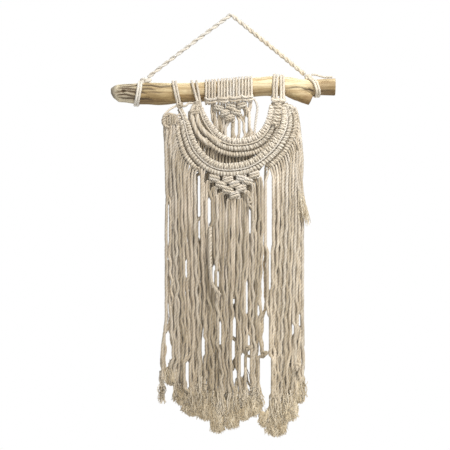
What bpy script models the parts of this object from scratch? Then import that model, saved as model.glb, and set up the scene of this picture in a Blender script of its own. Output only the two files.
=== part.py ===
"""A knotted cotton wall hanging on a cut branch, hung by one cord from a nail.

The origin is the point where the nail bears on the underside of the hanger. +X is to the right as one
faces the hanging, +Z is up and the wall is on the +Y side. The tables are in millimetres.
"""

import math

import bmesh
import bpy
from mathutils import Matrix, Vector

MM = 0.001

# Driving sizes, in millimetres
GAP = 0.3  # between pieces that touch
CORD = 4.0  # one strand of cotton cord
HANGER_RADIUS = 3.2
KNOT_THICKNESS = 9.0  # a square knot, front to back
COMB_THICKNESS = 5.0  # a fringe, front to back
CAP_THICKNESS = 9.0
HEADS_BAND = 11.0  # lark's heads and the cord they sit on, across the row
RIDGE_BAND = 9.0  # a row of double half hitches, across the row
ROW_FLATNESS = 0.8  # depth of a knotted row over its width
HOLE = 2.0  # half the width of an open place between square knots
TOOTH_TAPER = 1.5  # how much a bundle of strands narrows on each side at its foot
ROUND_STEPS = 24  # sides of a band round the branch
ROW_STEPS = 3  # straight pieces of a row for each point of its swag's table
EDGE_STEPS = 6  # points of a curved upper edge for each point of its swag's table
MARGIN = 1.0  # how far past a band's sides the branch's size is looked up
STRAND_END = 0.45  # height of the inner end of a lark's head's strands, over the branch's radius
KNOTS_CLEARANCE = 0.4  # between the larger triangle and the strands beside it

# Depth of each hanging layer, from the branch's axis towards the front
PANEL_DEPTH = -15.0
INNER_DEPTH = -23.2
OUTER_DEPTH = -33.0
LEFT_FRINGE_DEPTH = -29.0
CAP_DEPTH = -24.0

# The branch: x, height of its axis, radius
BRANCH = (
    (-178.5, -119.0, 4.5),
    (-175.5, -117.0, 9.0),
    (-169.5, -115.0, 12.8),
    (-160.5, -114.8, 14.4),
    (-142.5, -115.3, 16.0),
    (-124.5, -115.0, 16.8),
    (-106.5, -115.8, 16.8),
    (-76.5, -114.0, 15.2),
    (-46.5, -112.8, 14.6),
    (-1.5, -108.8, 14.3),
    (46.5, -104.4, 14.5),
    (64.5, -103.9, 15.3),
    (88.5, -104.4, 13.6),
    (105.0, -105.5, 12.3),
    (121.5, -106.0, 11.9),
    (141.0, -105.0, 12.4),
    (157.5, -105.0, 12.9),
)

# The stub of a side branch: x, y, z, radius
STUB = (
    (76.0, 0.0, -104.0, 9.0),
    (92.0, -2.5, -112.0, 10.5),
    (108.0, -4.5, -119.5, 9.2),
    (120.5, -5.5, -125.5, 8.0),
)

# The middle of the hanger: x, y, z
HANGER = (
    (-125.4, -1.0, -90.6),
    (-84.0, -1.0, -58.5),
    (-42.0, -0.5, -27.0),
    (-9.5, 0.0, -3.0),
    (0.0, 0.0, 3.2),
    (9.0, 0.0, -3.0),
    (40.0, -0.5, -28.0),
    (76.0, -1.0, -57.0),
    (111.0, -1.0, -86.0),
)

# The ties that end the hanger: name, x of the turns, their width, x gained for each mm of height, and the
# x, y, z and half sizes of the knot on top
TIES = (
    ("hanger_tie_left", -137.5, 8.4, 0.30, (-131.5, -1.0, -93.2), (6.2, 5.5, 5.0)),
    ("hanger_tie_right", 126.5, 8.2, -0.22, (115.5, -1.0, -89.2), (5.5, 5.0, 4.4)),
)

# Loops round the branch: name, x of the middle, width along the branch, x gained for each mm of height, the
# front and the back of the gathered cords below the branch, and their foot
LOOPS = (
    ("left_loop_outer", -81.5, 8.6, -0.10, -14.5, -6.0, -137.0),
    ("left_loop_inner", -52.0, 10.0, -0.05, -18.5, -9.0, -135.0),
)

# Lark's heads over the branch: name, x of the middle, width, foot of the strands, bars across them, foot of
# the bars
LARKS_HEADS = (
    ("panel_mount_1", -30.6, 14.4, -133.2, 2, -131.5),
    ("panel_mount_2", -11.9, 15.4, -131.9, 2, -130.2),
    ("panel_mount_3", 5.4, 15.4, -130.8, 2, -129.1),
    ("panel_mount_4", 24.0, 16.2, -129.5, 2, -127.8),
    ("right_mount_inner", 65.0, 8.0, -130.6, 1, -124.5),
    ("right_mount_outer", 76.5, 8.0, -133.8, 1, -125.0),
)

# Upper edge of each swag from its left end: x, z, depth, and how far its rows spread (1 is full width)
INNER_SWAG = (
    (-49.5, -135.6, -19.0, 0.55),
    (-41.5, -151.5, -22.5, 0.65),
    (-30.9, -166.9, INNER_DEPTH, 0.8),
    (-15.6, -178.5, INNER_DEPTH, 0.95),
    (4.4, -183.6, INNER_DEPTH, 1.0),
    (24.0, -182.4, INNER_DEPTH, 1.0),
    (37.5, -177.0, INNER_DEPTH, 1.0),
    (47.2, -166.5, INNER_DEPTH, 0.95),
    (53.2, -154.5, INNER_DEPTH, 0.85),
    (56.7, -139.5, -21.4, 0.7),
    (59.0, -131.0, -18.8, 0.6),
)
OUTER_SWAG = (
    (-77.5, -138.0, -11.0, 0.4),
    (-75.0, -146.4, -16.0, 0.5),
    (-70.5, -163.5, -26.0, 0.7),
    (-64.5, -180.8, -31.0, 0.8),
    (-53.1, -198.0, OUTER_DEPTH, 0.9),
    (-36.0, -213.0, OUTER_DEPTH, 0.95),
    (-16.5, -220.5, OUTER_DEPTH, 1.0),
    (7.5, -221.2, OUTER_DEPTH, 1.0),
    (28.5, -215.3, OUTER_DEPTH, 1.0),
    (46.5, -203.3, OUTER_DEPTH, 1.0),
    (61.5, -187.5, OUTER_DEPTH, 1.0),
    (73.5, -166.5, OUTER_DEPTH, 0.9),
    (77.5, -148.5, -25.0, 0.75),
    (76.5, -135.0, -18.8, 0.6),
)

# Rows of the swags: name, table, distance of the row's two sides from the upper edge, first and last
# station
ROWS = (
    ("inner_heads", INNER_SWAG, 0.0, HEADS_BAND, 0.0, 10.0),
    ("inner_ridge_upper", INNER_SWAG, HEADS_BAND, HEADS_BAND + RIDGE_BAND, 0.2, 9.2),
    ("inner_ridge_lower", INNER_SWAG, HEADS_BAND + RIDGE_BAND, HEADS_BAND + 2 * RIDGE_BAND, 0.5, 7.6),
    ("outer_heads", OUTER_SWAG, 0.0, HEADS_BAND, 0.0, 13.0),
    ("outer_ridge", OUTER_SWAG, HEADS_BAND, HEADS_BAND + RIDGE_BAND, 1.2, 12.8),
    ("outer_side_ridge_left", OUTER_SWAG, HEADS_BAND + RIDGE_BAND, HEADS_BAND + 2 * RIDGE_BAND, 1.8, 4.9),
    ("outer_side_ridge_right", OUTER_SWAG, HEADS_BAND + RIDGE_BAND, HEADS_BAND + 2 * RIDGE_BAND, 8.7, 12.4),
)

# Plain cords: name, radius, and the x, y, z of each point
CORDS = (
    (
        "hanger_tail",
        1.6,
        ((121.4, -1.5, -86.6), (128.5, -2.0, -87.0), (141.0, -2.5, -90.4), (153.0, -3.0, -90.0)),
    ),
    ("cap_cord", 1.7, ((-85.2, -11.0, -135.6), (-91.0, -14.5, -139.2), (-97.0, -19.0, -144.8))),
    (
        "bridge_cord",
        1.7,
        ((-74.4, -11.0, -134.0), (-69.0, -12.5, -134.2), (-64.5, -13.0, -131.0), (-57.2, -13.5, -131.4)),
    ),
    (
        "side_strand",
        2.0,
        (
            (34.6, -15.8, -123.6),
            (38.4, -16.0, -131.0),
            (39.6, -16.2, -140.0),
            (38.0, -16.2, -151.5),
            (36.5, -16.0, -163.0),
            (35.4, -15.6, -176.0),
            (35.2, -15.2, -190.0),
        ),
    ),
)

# The cap of cords at the top left: x and z round its outline
CAP = (
    (-101.5, -150.0),
    (-97.0, -147.0),
    (-88.0, -146.6),
    (-86.2, -150.0),
    (-88.6, -160.0),
    (-92.0, -164.6),
    (-101.5, -164.6),
)

# The two triangles of square knots: x and z of the corners below the first row
PANEL_KNOTS = (
    (-26.0, -133.2),
    (26.2, -129.8),
    (25.2, -138.0),
    (13.5, -147.0),
    (6.0, -155.4),
    (1.5, -158.7),
    (-3.0, -158.7),
    (-7.5, -155.4),
    (-17.1, -147.0),
    (-26.2, -141.0),
)
OUTER_KNOTS_SIDES = (
    (32.5, -252.0),
    (23.1, -261.0),
    (13.5, -271.5),
    (-1.5, -271.5),
    (-12.0, -265.5),
    (-24.0, -256.5),
)
OUTER_KNOTS_ENDS = (-33.5, 42.0)
OUTER_KNOTS_HOLES = ((-15.8, -245.4), (6.0, -244.0), (-4.5, -253.6), (14.2, -252.2), (5.4, -261.0))

OUTER_KNOTS_MIDDLE = 6.0

# Upper edges of the fringes, as x and z of points or as the first and last station along a swag
PANEL_TOP = (
    (-31.5, -134.2),
    (-26.8, -133.9),
    (-26.7, -141.4),
    (-17.5, -147.6),
    (-7.9, -155.9),
    (-3.2, -159.2),
    (1.7, -159.2),
    (6.4, -155.8),
    (13.9, -147.5),
    (25.7, -138.3),
    (26.8, -130.2),
    (31.0, -129.9),
)
INNER_TOP = (0.6, 7.5)
CAP_FOOT = ((-101.5, -165.0), (-92.6, -165.0))
LEFT_TOP = (2.2, 4.9)
LEFT_CORNER = ((-49.0, -235.0), (-42.8, -232.8))
CENTRE_TOP = (4.0, 10.0)
RIGHT_TOP = (8.8, 12.4)
RIGHT_CORNER = ((98.5, -141.8), (101.5, -141.8), (105.5, -150.0))

# Fringes, one row for each bundle of strands: left side, right side, foot, how far the foot swings to the
# right, and the top of the slot on its right
PANEL_FRINGE = (
    (-31.5, -6.8, -575.0, -2.0, -163.0),
    (-1.5, 4.5, -590.0, 0.0, -165.0),
    (8.2, 12.6, -583.0, 1.0, -152.0),
    (19.5, 31.0, -572.0, 2.0, 0.0),
)
INNER_FRINGE = (
    (-62.0, -42.0, -570.0, -4.0, -300.0),
    (-41.0, -20.0, -588.0, -2.0, -262.0),
    (-19.0, 4.0, -596.0, 0.0, -300.0),
    (5.0, 27.0, -590.0, 1.0, -262.0),
    (32.0, 54.0, -598.0, 2.0, -300.0),
    (55.0, 77.0, -580.0, 3.0, 0.0),
)
LEFT_FRINGE = (
    (-101.5, -89.3, -583.5, -6.0, -330.0),
    (-88.5, -78.8, -567.0, -2.0, -300.0),
    (-78.0, -66.8, -592.5, -1.0, -360.0),
    (-66.0, -56.3, -598.5, 0.0, -246.0),
    (-51.8, -42.8, -601.5, 0.0, 0.0),
)
CENTRE_FRINGE = (
    (-38.3, -25.5, -609.0, 0.0, -420.0),
    (-24.3, -13.5, -625.5, 0.5, -390.0),
    (-12.3, -1.5, -621.0, 0.0, -450.0),
    (-0.3, 9.0, -618.0, 0.0, -282.0),
    (12.8, 22.5, -607.5, 0.0, -380.0),
    (23.7, 31.5, -603.0, 0.5, -262.0),
    (38.0, 46.5, -621.0, 0.0, 0.0),
)
RIGHT_FRINGE = (
    (48.8, 60.0, -627.0, 0.0, -300.0),
    (61.2, 72.8, -631.5, 0.5, -400.0),
    (74.0, 84.8, -607.5, 0.5, -350.0),
    (86.0, 97.5, -606.0, 1.0, -420.0),
    (98.7, 107.5, -579.0, 1.5, 0.0),
)


def empty_scene():
    for old in list(bpy.data.objects):
        bpy.data.objects.remove(old, do_unlink=True)


def collection(name, shown=True):
    group = bpy.data.collections.new(name)
    group.hide_render = not shown
    bpy.context.scene.collection.children.link(group)
    return group


def principled(name, colour, roughness):
    material = bpy.data.materials.new(name)
    material.use_nodes = True
    shader = material.node_tree.nodes["Principled BSDF"]
    shader.inputs["Base Color"].default_value = (*colour, 1.0)
    shader.inputs["Roughness"].default_value = roughness
    shader.inputs["Metallic"].default_value = 0.0
    return material


def beyond(end, inner):
    return [2 * a - b for a, b in zip(end, inner)]


def spline_at(points, station):
    """A point of the smooth curve through the given points; whole stations are the points themselves."""
    last = len(points) - 1
    first = min(int(station), last - 1)
    part = station - first
    before = points[first - 1] if first else beyond(points[0], points[1])
    after = points[first + 2] if first + 2 <= last else beyond(points[last], points[last - 1])
    result = []
    for a, b, c, d in zip(before, points[first], points[first + 1], after):
        square = (2 * a - 5 * b + 4 * c - d) * part**2
        cube = (3 * b - a - 3 * c + d) * part**3
        result.append(0.5 * (2 * b + (c - a) * part + square + cube))
    return result


def smooth(points, pieces):
    """The smooth curve through the given points, as points the same number of pieces apart in each span."""
    spans = len(points) - 1
    return [spline_at(points, spans * step / (pieces * spans)) for step in range(pieces * spans + 1)]


def swag_side(table, distance, station):
    """The point that far outside a swag's upper edge at a station, its depth and the rows' spread there."""
    here = spline_at(table, station)
    step = 0.05
    ahead = spline_at(table, min(station + step, len(table) - 1))
    behind = spline_at(table, max(station - step, 0))
    along = Vector((ahead[0] - behind[0], ahead[1] - behind[1])).normalized()
    x, z, depth, spread = here
    return x + along.y * distance * spread, depth, z - along.x * distance * spread, spread


def swag_line(table, distance, first, last):
    """Points along a swag that far outside its upper edge, and then the gap further."""
    line = []
    pieces = round((last - first) * EDGE_STEPS)
    for step in range(pieces + 1):
        station = first + (last - first) * step / pieces
        spread = spline_at(table, station)[3]
        x, _, z, _ = swag_side(table, distance + GAP / spread, station)
        line.append((x, z))
    return line


def keep(obj, material, group):
    obj.data.materials.clear()
    obj.data.materials.append(material)
    group.objects.link(obj)


def tube(name, points, radii, flatness=1.0, depth=0.0):
    """A round cord along points, or an oval one that is flattened towards the plane at that depth."""
    data = bpy.data.curves.new(name, "CURVE")
    data.dimensions = "3D"
    data.bevel_depth = MM
    data.bevel_resolution = 2
    data.use_fill_caps = True
    spline = data.splines.new("POLY")
    spline.points.add(len(points) - 1)
    for target, (x, y, z), radius in zip(spline.points, points, radii):
        target.co = (x * MM, (y - depth) / flatness * MM, z * MM, 1.0)
        target.radius = radius
    obj = bpy.data.objects.new(name, data)
    obj.location.y = depth * MM
    obj.scale.y = flatness
    return obj


def flat_curve(name, outlines, half):
    """A flat closed outline, with holes where further outlines lie in it, thickened by half to each side."""
    data = bpy.data.curves.new(name, "CURVE")
    data.dimensions = "2D"
    data.fill_mode = "BOTH"
    data.extrude = half * MM
    for outline in outlines:
        spline = data.splines.new("POLY")
        spline.points.add(len(outline) - 1)
        for target, (u, v) in zip(spline.points, outline):
            target.co = (u * MM, v * MM, 0.0, 1.0)
        spline.use_cyclic_u = True
    return bpy.data.objects.new(name, data)


def plate(name, outlines, depth, thickness):
    """A piece that hangs in a plane along the wall: outlines in x and z, at that depth."""
    obj = flat_curve(name, outlines, thickness / 2)
    obj.rotation_euler.x = math.pi / 2
    obj.location.y = depth * MM
    return obj


def as_mesh(curve, place):
    """The curve as a closed mesh object of the same name, moved by the matrix."""
    name = curve.name
    bpy.context.scene.collection.objects.link(curve)
    bpy.context.view_layer.update()
    graph = bpy.context.evaluated_depsgraph_get()
    mesh = bpy.data.meshes.new_from_object(curve.evaluated_get(graph))
    mesh.transform(place @ curve.matrix_world)
    bpy.data.objects.remove(curve, do_unlink=True)
    work = bmesh.new()
    work.from_mesh(mesh)
    bmesh.ops.remove_doubles(work, verts=work.verts, dist=0.001 * MM)
    work.to_mesh(mesh)
    work.free()
    return bpy.data.objects.new(name, mesh)


def join(body, addition, helpers):
    """Makes the addition one body with the first piece; the addition itself stays as a hidden helper."""
    helpers.objects.link(addition)
    addition.hide_render = True
    addition.display_type = "WIRE"
    union = body.modifiers.new(addition.name, "BOOLEAN")
    union.operation = "UNION"
    union.object = addition


def branch_at(x):
    """Height of the branch's axis and its radius at x."""
    for (x0, z0, r0), (x1, z1, r1) in zip(BRANCH, BRANCH[1:]):
        if x0 <= x <= x1:
            part = (x - x0) / (x1 - x0)
            return z0 + part * (z1 - z0), r0 + part * (r1 - r0)
    return BRANCH[-1][1:]


def circle(radius):
    turn = 2 * math.pi / ROUND_STEPS
    return [(radius * math.cos(turn * step), radius * math.sin(turn * step)) for step in range(ROUND_STEPS)]


def round_branch(name, x, width, lean, outer):
    """A band round the branch: an outline in y and z from the branch's axis, extruded along the branch."""
    reach = width / 2 + MARGIN
    (z0, r0), (z, r), (z1, r1) = (branch_at(x + side * reach) for side in (-1, 0, 1))
    inner = (max(r0, r, r1) + GAP) / math.cos(math.pi / ROUND_STEPS)
    slope = (z1 - z0) / (2 * reach)
    place = Matrix(((0, lean, 1, x * MM), (1, 0, 0, 0), (0, 1, slope, z * MM), (0, 0, 0, 1)))
    return as_mesh(flat_curve(name, [outer(inner, z), circle(inner)], width / 2), place)


def plain_turns(inner, _axis):
    return circle(inner + CORD)


def loop_outline(front, back, foot):
    """The outline of a loop round the branch whose cords are gathered into one below it."""

    def outline(inner, axis):
        outer = inner + CORD
        gathered = [
            (front, -math.sqrt(outer**2 - front**2)),
            (front, foot - axis),
            (back, foot - axis),
            (back, -math.sqrt(outer**2 - back**2)),
        ]
        points = circle(outer)
        covered = [p[1] < 0 and front <= p[0] <= back for p in points]
        start = covered.index(True)
        uncovered = [p for p, hidden in zip(points[start:], covered[start:]) if not hidden]
        return points[:start] + gathered + uncovered

    return outline


def larks_head_outline(foot, bars, bars_foot):
    """The outline of a lark's head: round the branch, strands down its front, and bars across them."""

    def outline(inner, axis):
        outer = inner + CORD
        half_turn = ROUND_STEPS // 2
        over = circle(outer)[: half_turn + 1]
        under = [p for p in circle(outer)[half_turn + 1 :] if p[0] > MARGIN - inner]
        bars_top = bars_foot - axis + CORD * bars
        strands = [
            (-outer, bars_top),
            (-outer - CORD, bars_top),
            (-outer - CORD, bars_foot - axis),
            (-outer, bars_foot - axis),
            (-outer, foot - axis),
            (-inner, foot - axis),
            (-inner, -inner * STRAND_END),
        ]
        return over + strands + under

    return outline


def comb(name, top, teeth, depth):
    """A fringe as one comb: its upper edge from left to right, then each bundle's foot from right to left."""
    outline = list(top)
    for index in range(len(teeth) - 1, -1, -1):
        left, right, foot, swing, slot = teeth[index]
        if slot:
            outline.append((right, slot))
        outline.append((right - TOOTH_TAPER + swing, foot))
        outline.append((left + TOOTH_TAPER + swing, foot))
        if index:
            outline.append((left, teeth[index - 1][4]))
    return plate(name, [outline], depth, COMB_THICKNESS)


def build_branch(wood, parts, helpers):
    trunk = as_mesh(tube("branch", [(x, 0.0, z) for x, z, _ in BRANCH], [row[2] for row in BRANCH]), Matrix())
    limb = smooth(STUB, 2)
    join(trunk, as_mesh(tube("stub", [row[:3] for row in limb], [row[3] for row in limb]), Matrix()), helpers)
    keep(trunk, wood, parts)


def build_hanger(cotton, parts, helpers):
    """The cord over the nail, and a tie of two turns and a knot at each end of it."""
    line = smooth(HANGER, 3)
    keep(tube("hanger", line, [HANGER_RADIUS] * len(line)), cotton, parts)
    for name, x, width, lean, place, half in TIES:
        turns = round_branch(name, x, width, lean, plain_turns)
        knot = bpy.data.objects.new(name + "_knot", bpy.data.meshes.new(name + "_knot"))
        ball = bmesh.new()
        bmesh.ops.create_uvsphere(ball, u_segments=12, v_segments=8, radius=MM)
        bmesh.ops.scale(ball, vec=half, verts=ball.verts)
        bmesh.ops.translate(ball, vec=Vector(place) * MM, verts=ball.verts)
        ball.to_mesh(knot.data)
        ball.free()
        join(turns, knot, helpers)
        keep(turns, cotton, parts)


def build_mounts(cotton, parts):
    for name, x, width, lean, front, back, foot in LOOPS:
        keep(round_branch(name, x, width, lean, loop_outline(front, back, foot)), cotton, parts)
    for name, x, width, foot, bars, bars_foot in LARKS_HEADS:
        keep(round_branch(name, x, width, 0.0, larks_head_outline(foot, bars, bars_foot)), cotton, parts)


def build_rows(cotton, parts):
    """The knotted rows of both swags, each a thick cord beside the one above it."""
    for name, table, near, far, first, last in ROWS:
        pieces = round((last - first) * ROW_STEPS)
        points = []
        radii = []
        for step in range(pieces + 1):
            x, y, z, spread = swag_side(table, (near + far) / 2, first + (last - first) * step / pieces)
            points.append((x, y, z))
            radii.append(spread * (far - near) / 2 - GAP / 2)
        keep(tube(name, points, radii, ROW_FLATNESS, INNER_DEPTH), cotton, parts)


def build_cords(cotton, parts):
    for name, radius, points in CORDS:
        line = smooth(points, 3)
        keep(tube(name, line, [radius] * len(line)), cotton, parts)


def hole(x, z):
    return [(x - HOLE, z), (x, z - HOLE), (x + HOLE, z), (x, z + HOLE)]


def between(line, left, right):
    return [point for point in line if left < point[0] < right]


def build_knots(cotton, parts):
    """The two triangles of square knots, the larger one open between its knots, and the cap."""
    keep(plate("panel_knots", [PANEL_KNOTS], PANEL_DEPTH, KNOT_THICKNESS), cotton, parts)
    under_ridge = swag_line(OUTER_SWAG, HEADS_BAND + RIDGE_BAND, *CENTRE_TOP)
    outline = between(under_ridge, *OUTER_KNOTS_ENDS) + list(OUTER_KNOTS_SIDES)
    holes = [hole(x, z) for x, z in OUTER_KNOTS_HOLES]
    keep(plate("outer_knots", [outline] + holes, OUTER_DEPTH, KNOT_THICKNESS), cotton, parts)
    keep(plate("left_cap", [CAP], CAP_DEPTH, CAP_THICKNESS), cotton, parts)


def build_fringes(cotton, parts):
    """The fringes, each a comb that hangs from the row or the knots above it."""
    ridge_foot = HEADS_BAND + RIDGE_BAND
    side_foot = HEADS_BAND + 2 * RIDGE_BAND
    keep(comb("panel_fringe", PANEL_TOP, PANEL_FRINGE, PANEL_DEPTH), cotton, parts)
    inner_top = swag_line(INNER_SWAG, side_foot, *INNER_TOP)
    keep(comb("inner_fringe", inner_top, INNER_FRINGE, INNER_DEPTH), cotton, parts)
    left_top = [*CAP_FOOT, *swag_line(OUTER_SWAG, side_foot, *LEFT_TOP), *LEFT_CORNER]
    keep(comb("outer_fringe_left", left_top, LEFT_FRINGE, LEFT_FRINGE_DEPTH), cotton, parts)
    under_ridge = swag_line(OUTER_SWAG, ridge_foot, *CENTRE_TOP)
    knots_side = []
    for x, z in reversed(OUTER_KNOTS_SIDES):
        outwards = math.copysign(KNOTS_CLEARANCE, x - OUTER_KNOTS_MIDDLE)
        knots_side.append((x + outwards, z - KNOTS_CLEARANCE))
    left_corner = between(under_ridge, CENTRE_FRINGE[0][0], OUTER_KNOTS_ENDS[0] - KNOTS_CLEARANCE)
    right_corner = between(under_ridge, OUTER_KNOTS_ENDS[1] + KNOTS_CLEARANCE, CENTRE_FRINGE[-1][1])
    centre_top = left_corner + knots_side + right_corner
    keep(comb("outer_fringe_centre", centre_top, CENTRE_FRINGE, OUTER_DEPTH), cotton, parts)
    right_top = [*swag_line(OUTER_SWAG, side_foot, *RIGHT_TOP), *RIGHT_CORNER]
    keep(comb("outer_fringe_right", right_top, RIGHT_FRINGE, OUTER_DEPTH), cotton, parts)


def build():
    empty_scene()
    parts = collection("macrame_wall_hanging")
    helpers = collection("helpers", shown=False)
    wood = principled("peeled_wood", (0.62, 0.47, 0.28), 0.7)
    cotton = principled("cotton_cord", (0.83, 0.78, 0.68), 0.9)
    build_branch(wood, parts, helpers)
    build_hanger(cotton, parts, helpers)
    build_mounts(cotton, parts)
    build_rows(cotton, parts)
    build_cords(cotton, parts)
    build_knots(cotton, parts)
    build_fringes(cotton, parts)


build()
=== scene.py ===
import math

import bmesh
import bpy
import numpy as np
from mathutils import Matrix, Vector, noise


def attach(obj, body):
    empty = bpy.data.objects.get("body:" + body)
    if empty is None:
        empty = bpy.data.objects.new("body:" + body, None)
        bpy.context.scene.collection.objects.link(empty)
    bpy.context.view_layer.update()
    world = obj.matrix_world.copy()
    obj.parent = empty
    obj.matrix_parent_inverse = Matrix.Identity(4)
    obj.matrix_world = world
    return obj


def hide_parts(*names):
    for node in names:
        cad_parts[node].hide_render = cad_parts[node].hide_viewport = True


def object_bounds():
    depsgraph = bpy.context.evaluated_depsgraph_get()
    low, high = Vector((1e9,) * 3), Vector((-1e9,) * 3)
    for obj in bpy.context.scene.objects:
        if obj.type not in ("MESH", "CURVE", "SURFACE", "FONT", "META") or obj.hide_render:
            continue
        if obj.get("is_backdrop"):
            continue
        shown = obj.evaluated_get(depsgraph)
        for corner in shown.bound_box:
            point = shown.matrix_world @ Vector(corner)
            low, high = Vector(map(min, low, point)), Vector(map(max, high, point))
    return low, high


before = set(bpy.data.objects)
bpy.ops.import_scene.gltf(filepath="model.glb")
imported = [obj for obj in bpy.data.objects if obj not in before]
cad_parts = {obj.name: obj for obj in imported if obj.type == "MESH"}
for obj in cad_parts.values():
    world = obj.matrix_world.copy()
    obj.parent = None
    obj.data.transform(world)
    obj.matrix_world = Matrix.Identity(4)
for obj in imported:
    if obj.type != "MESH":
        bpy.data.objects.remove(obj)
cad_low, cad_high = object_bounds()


# ---- Camera and light -----------------------------------------------------------------------------------
# A plain studio: the hanging is seen straight on from three metres, in soft light from the upper right and
# from the front, with a third lamp behind it, over a pale floor that lies below its longest strands.
VIEW_WIDTH = 0.675
VIEW_DISTANCE = 3.0
VIEW_CENTRE = (-0.009, -0.3135)
FRONT_PLANE = -0.02
SENSOR = 36.0
ROOM_LIGHT = 0.33
FLOOR_GLOW = 0.42
FLOOR_LEVEL = -1.5
WHITE = (1.0, 1.0, 1.0)


def placed(name, data):
    """A new object in the scene, at the origin."""
    made = bpy.data.objects.new(name, data)
    bpy.context.scene.collection.objects.link(made)
    return made


def feed(tree, node, **inputs):
    """Sets a node's inputs to values and colours, or links them to other nodes' outputs."""
    for key, value in inputs.items():
        socket = node.inputs[key.replace("_", " ")]
        if isinstance(value, bpy.types.NodeSocket):
            tree.links.new(value, socket)
        else:
            socket.default_value = (*value, 1.0) if "Color" in key else value
    return node


def add(tree, kind, **inputs):
    """A new shader node, fed."""
    return feed(tree, tree.nodes.new("ShaderNode" + kind), **inputs)


def new_material(name, roughness, gloss=0.5):
    """A material, its node tree and its shader."""
    material = bpy.data.materials.new(name)
    material.use_nodes = True
    tree = material.node_tree
    shader = tree.nodes["Principled BSDF"]
    feed(tree, shader, Roughness=roughness, Specular_IOR_Level=gloss)
    return material, tree, shader


camera_data = bpy.data.cameras.new("camera")
camera_data.sensor_width = SENSOR
camera_data.lens = SENSOR * (VIEW_DISTANCE + FRONT_PLANE) / VIEW_WIDTH
camera = placed("camera", camera_data)
camera.location = (VIEW_CENTRE[0], -VIEW_DISTANCE, VIEW_CENTRE[1])
camera.rotation_euler = (math.pi / 2, 0.0, 0.0)
bpy.context.scene.camera = camera
bpy.context.scene.view_settings.view_transform = "Standard"

for name, place, across, watts in (
    ("key_lamp", (0.75, -1.15, 1.25), 0.6, 52.0),
    ("fill_lamp", (-0.2, -2.3, -0.2), 1.6, 19.0),
    ("back_lamp", (0.4, 1.6, 0.6), 1.6, 34.0),
):
    lamp_data = bpy.data.lights.new(name, "AREA")
    lamp_data.size = across
    lamp_data.energy = watts
    lamp = placed(name, lamp_data)
    lamp.location = place
    # Turned towards the middle of the hanging
    lamp.rotation_euler = (Vector((0.0, 0.0, -0.3)) - Vector(place)).to_track_quat("-Z", "Y").to_euler()

# The room is white to look at, and gives less light than that from all round
world = bpy.data.worlds.new("white_room")
world.use_nodes = True
bpy.context.scene.world = world
looked_at = add(world.node_tree, "LightPath").outputs["Is Camera Ray"]
strength = add(world.node_tree, "MapRange", Value=looked_at, To_Min=ROOM_LIGHT).outputs["Result"]
feed(world.node_tree, world.node_tree.nodes["Background"], Color=WHITE, Strength=strength)

# The floor looks as pale as in a lit room, and throws no more light up than the lamps give it
paint, tree, shader = new_material("floor_paint", 0.8)
looked_at = add(tree, "LightPath").outputs["Is Camera Ray"]
glow = add(tree, "MapRange", Value=looked_at, To_Max=FLOOR_GLOW).outputs["Result"]
feed(tree, shader, Base_Color=(0.86, 0.86, 0.85), Emission_Color=WHITE, Emission_Strength=glow)
ground = bmesh.new()
bmesh.ops.create_grid(ground, x_segments=1, y_segments=1, size=4.0)
bmesh.ops.translate(ground, vec=(0.0, 0.0, FLOOR_LEVEL), verts=ground.verts)
floor_mesh = bpy.data.meshes.new("floor")
ground.to_mesh(floor_mesh)
ground.free()
floor_mesh.materials.append(paint)
placed("floor", floor_mesh)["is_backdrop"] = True


# ---- Hanger ---------------------------------------------------------------------------------------------
# Two cotton cords twisted round each other run from a knot at the left of the branch over the nail to a
# knot at the right. Each cord is three plies of matt, bleached yarn with a slight fuzz.
HANGER = (
    (-125.4, -1.0, -90.6), (-84.0, -1.0, -58.5), (-42.0, -0.5, -27.0), (-9.5, 0.0, -3.0), (0.0, 0.0, 3.2),
    (9.0, 0.0, -3.0), (40.0, -0.5, -28.0), (76.0, -1.0, -57.0), (111.0, -1.0, -86.0),
)
LOOSE_PITCH, TIGHT_PITCH = 27.0, 20.0  # millimetres a turn, left and right of the nail
CORD_RADIUS, PAIR_OFFSET = 2.1, 1.65
MM = 0.001
STEP = 1.5  # millimetres between two rings of a cord's surface
LAY, HANGER_LAY = 13.0, 24.0  # millimetres in which a ply turns once round its cord
WHOLE_TURN = 2 * math.pi
ROUND = 6.28  # a whole turn, near enough for a random start
FIBRE_STRETCH = 0.1  # fibres are ten times as long as they are thick
FIBRE_START = 977.0  # each cord's fibres start somewhere else
chance = np.random.default_rng(7)


def run_of(line):
    """The length along a line up to each of its points."""
    return np.concatenate([[0.0], np.cumsum(np.linalg.norm(np.diff(line[:, :3], axis=0), axis=1))])


def rows_at(rows, at):
    """The points of a line, with all their columns, at those lengths along it."""
    run = run_of(rows)
    return np.column_stack([np.interp(at, run, column) for column in rows.T])


def on_curve(given, station):
    """Points on the smooth curve through the given ones; station 1.5 is half way from the second on."""
    padded = np.vstack([2 * given[0] - given[1], given, 2 * given[-1] - given[-2]])
    index = np.clip(station.astype(int), 0, len(given) - 2)
    part = (station - index)[:, None]
    a, b, c, d = (padded[index + k] for k in range(4))
    square = (2 * a - 5 * b + 4 * c - d) * part**2
    cube = (3 * b - a - 3 * c + d) * part**3
    return 0.5 * (2 * b + (c - a) * part + square + cube)


def through(points, step=STEP, pieces=12):
    """Points a step apart on the smooth curve through the given ones, with any further columns."""
    given = np.array(points, float)
    fine = on_curve(given, np.linspace(0, len(given) - 1, (len(given) - 1) * pieces + 1))
    length = run_of(fine)[-1]
    return rows_at(fine, np.linspace(0, length, max(3, round(length / step) + 1)))


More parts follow.
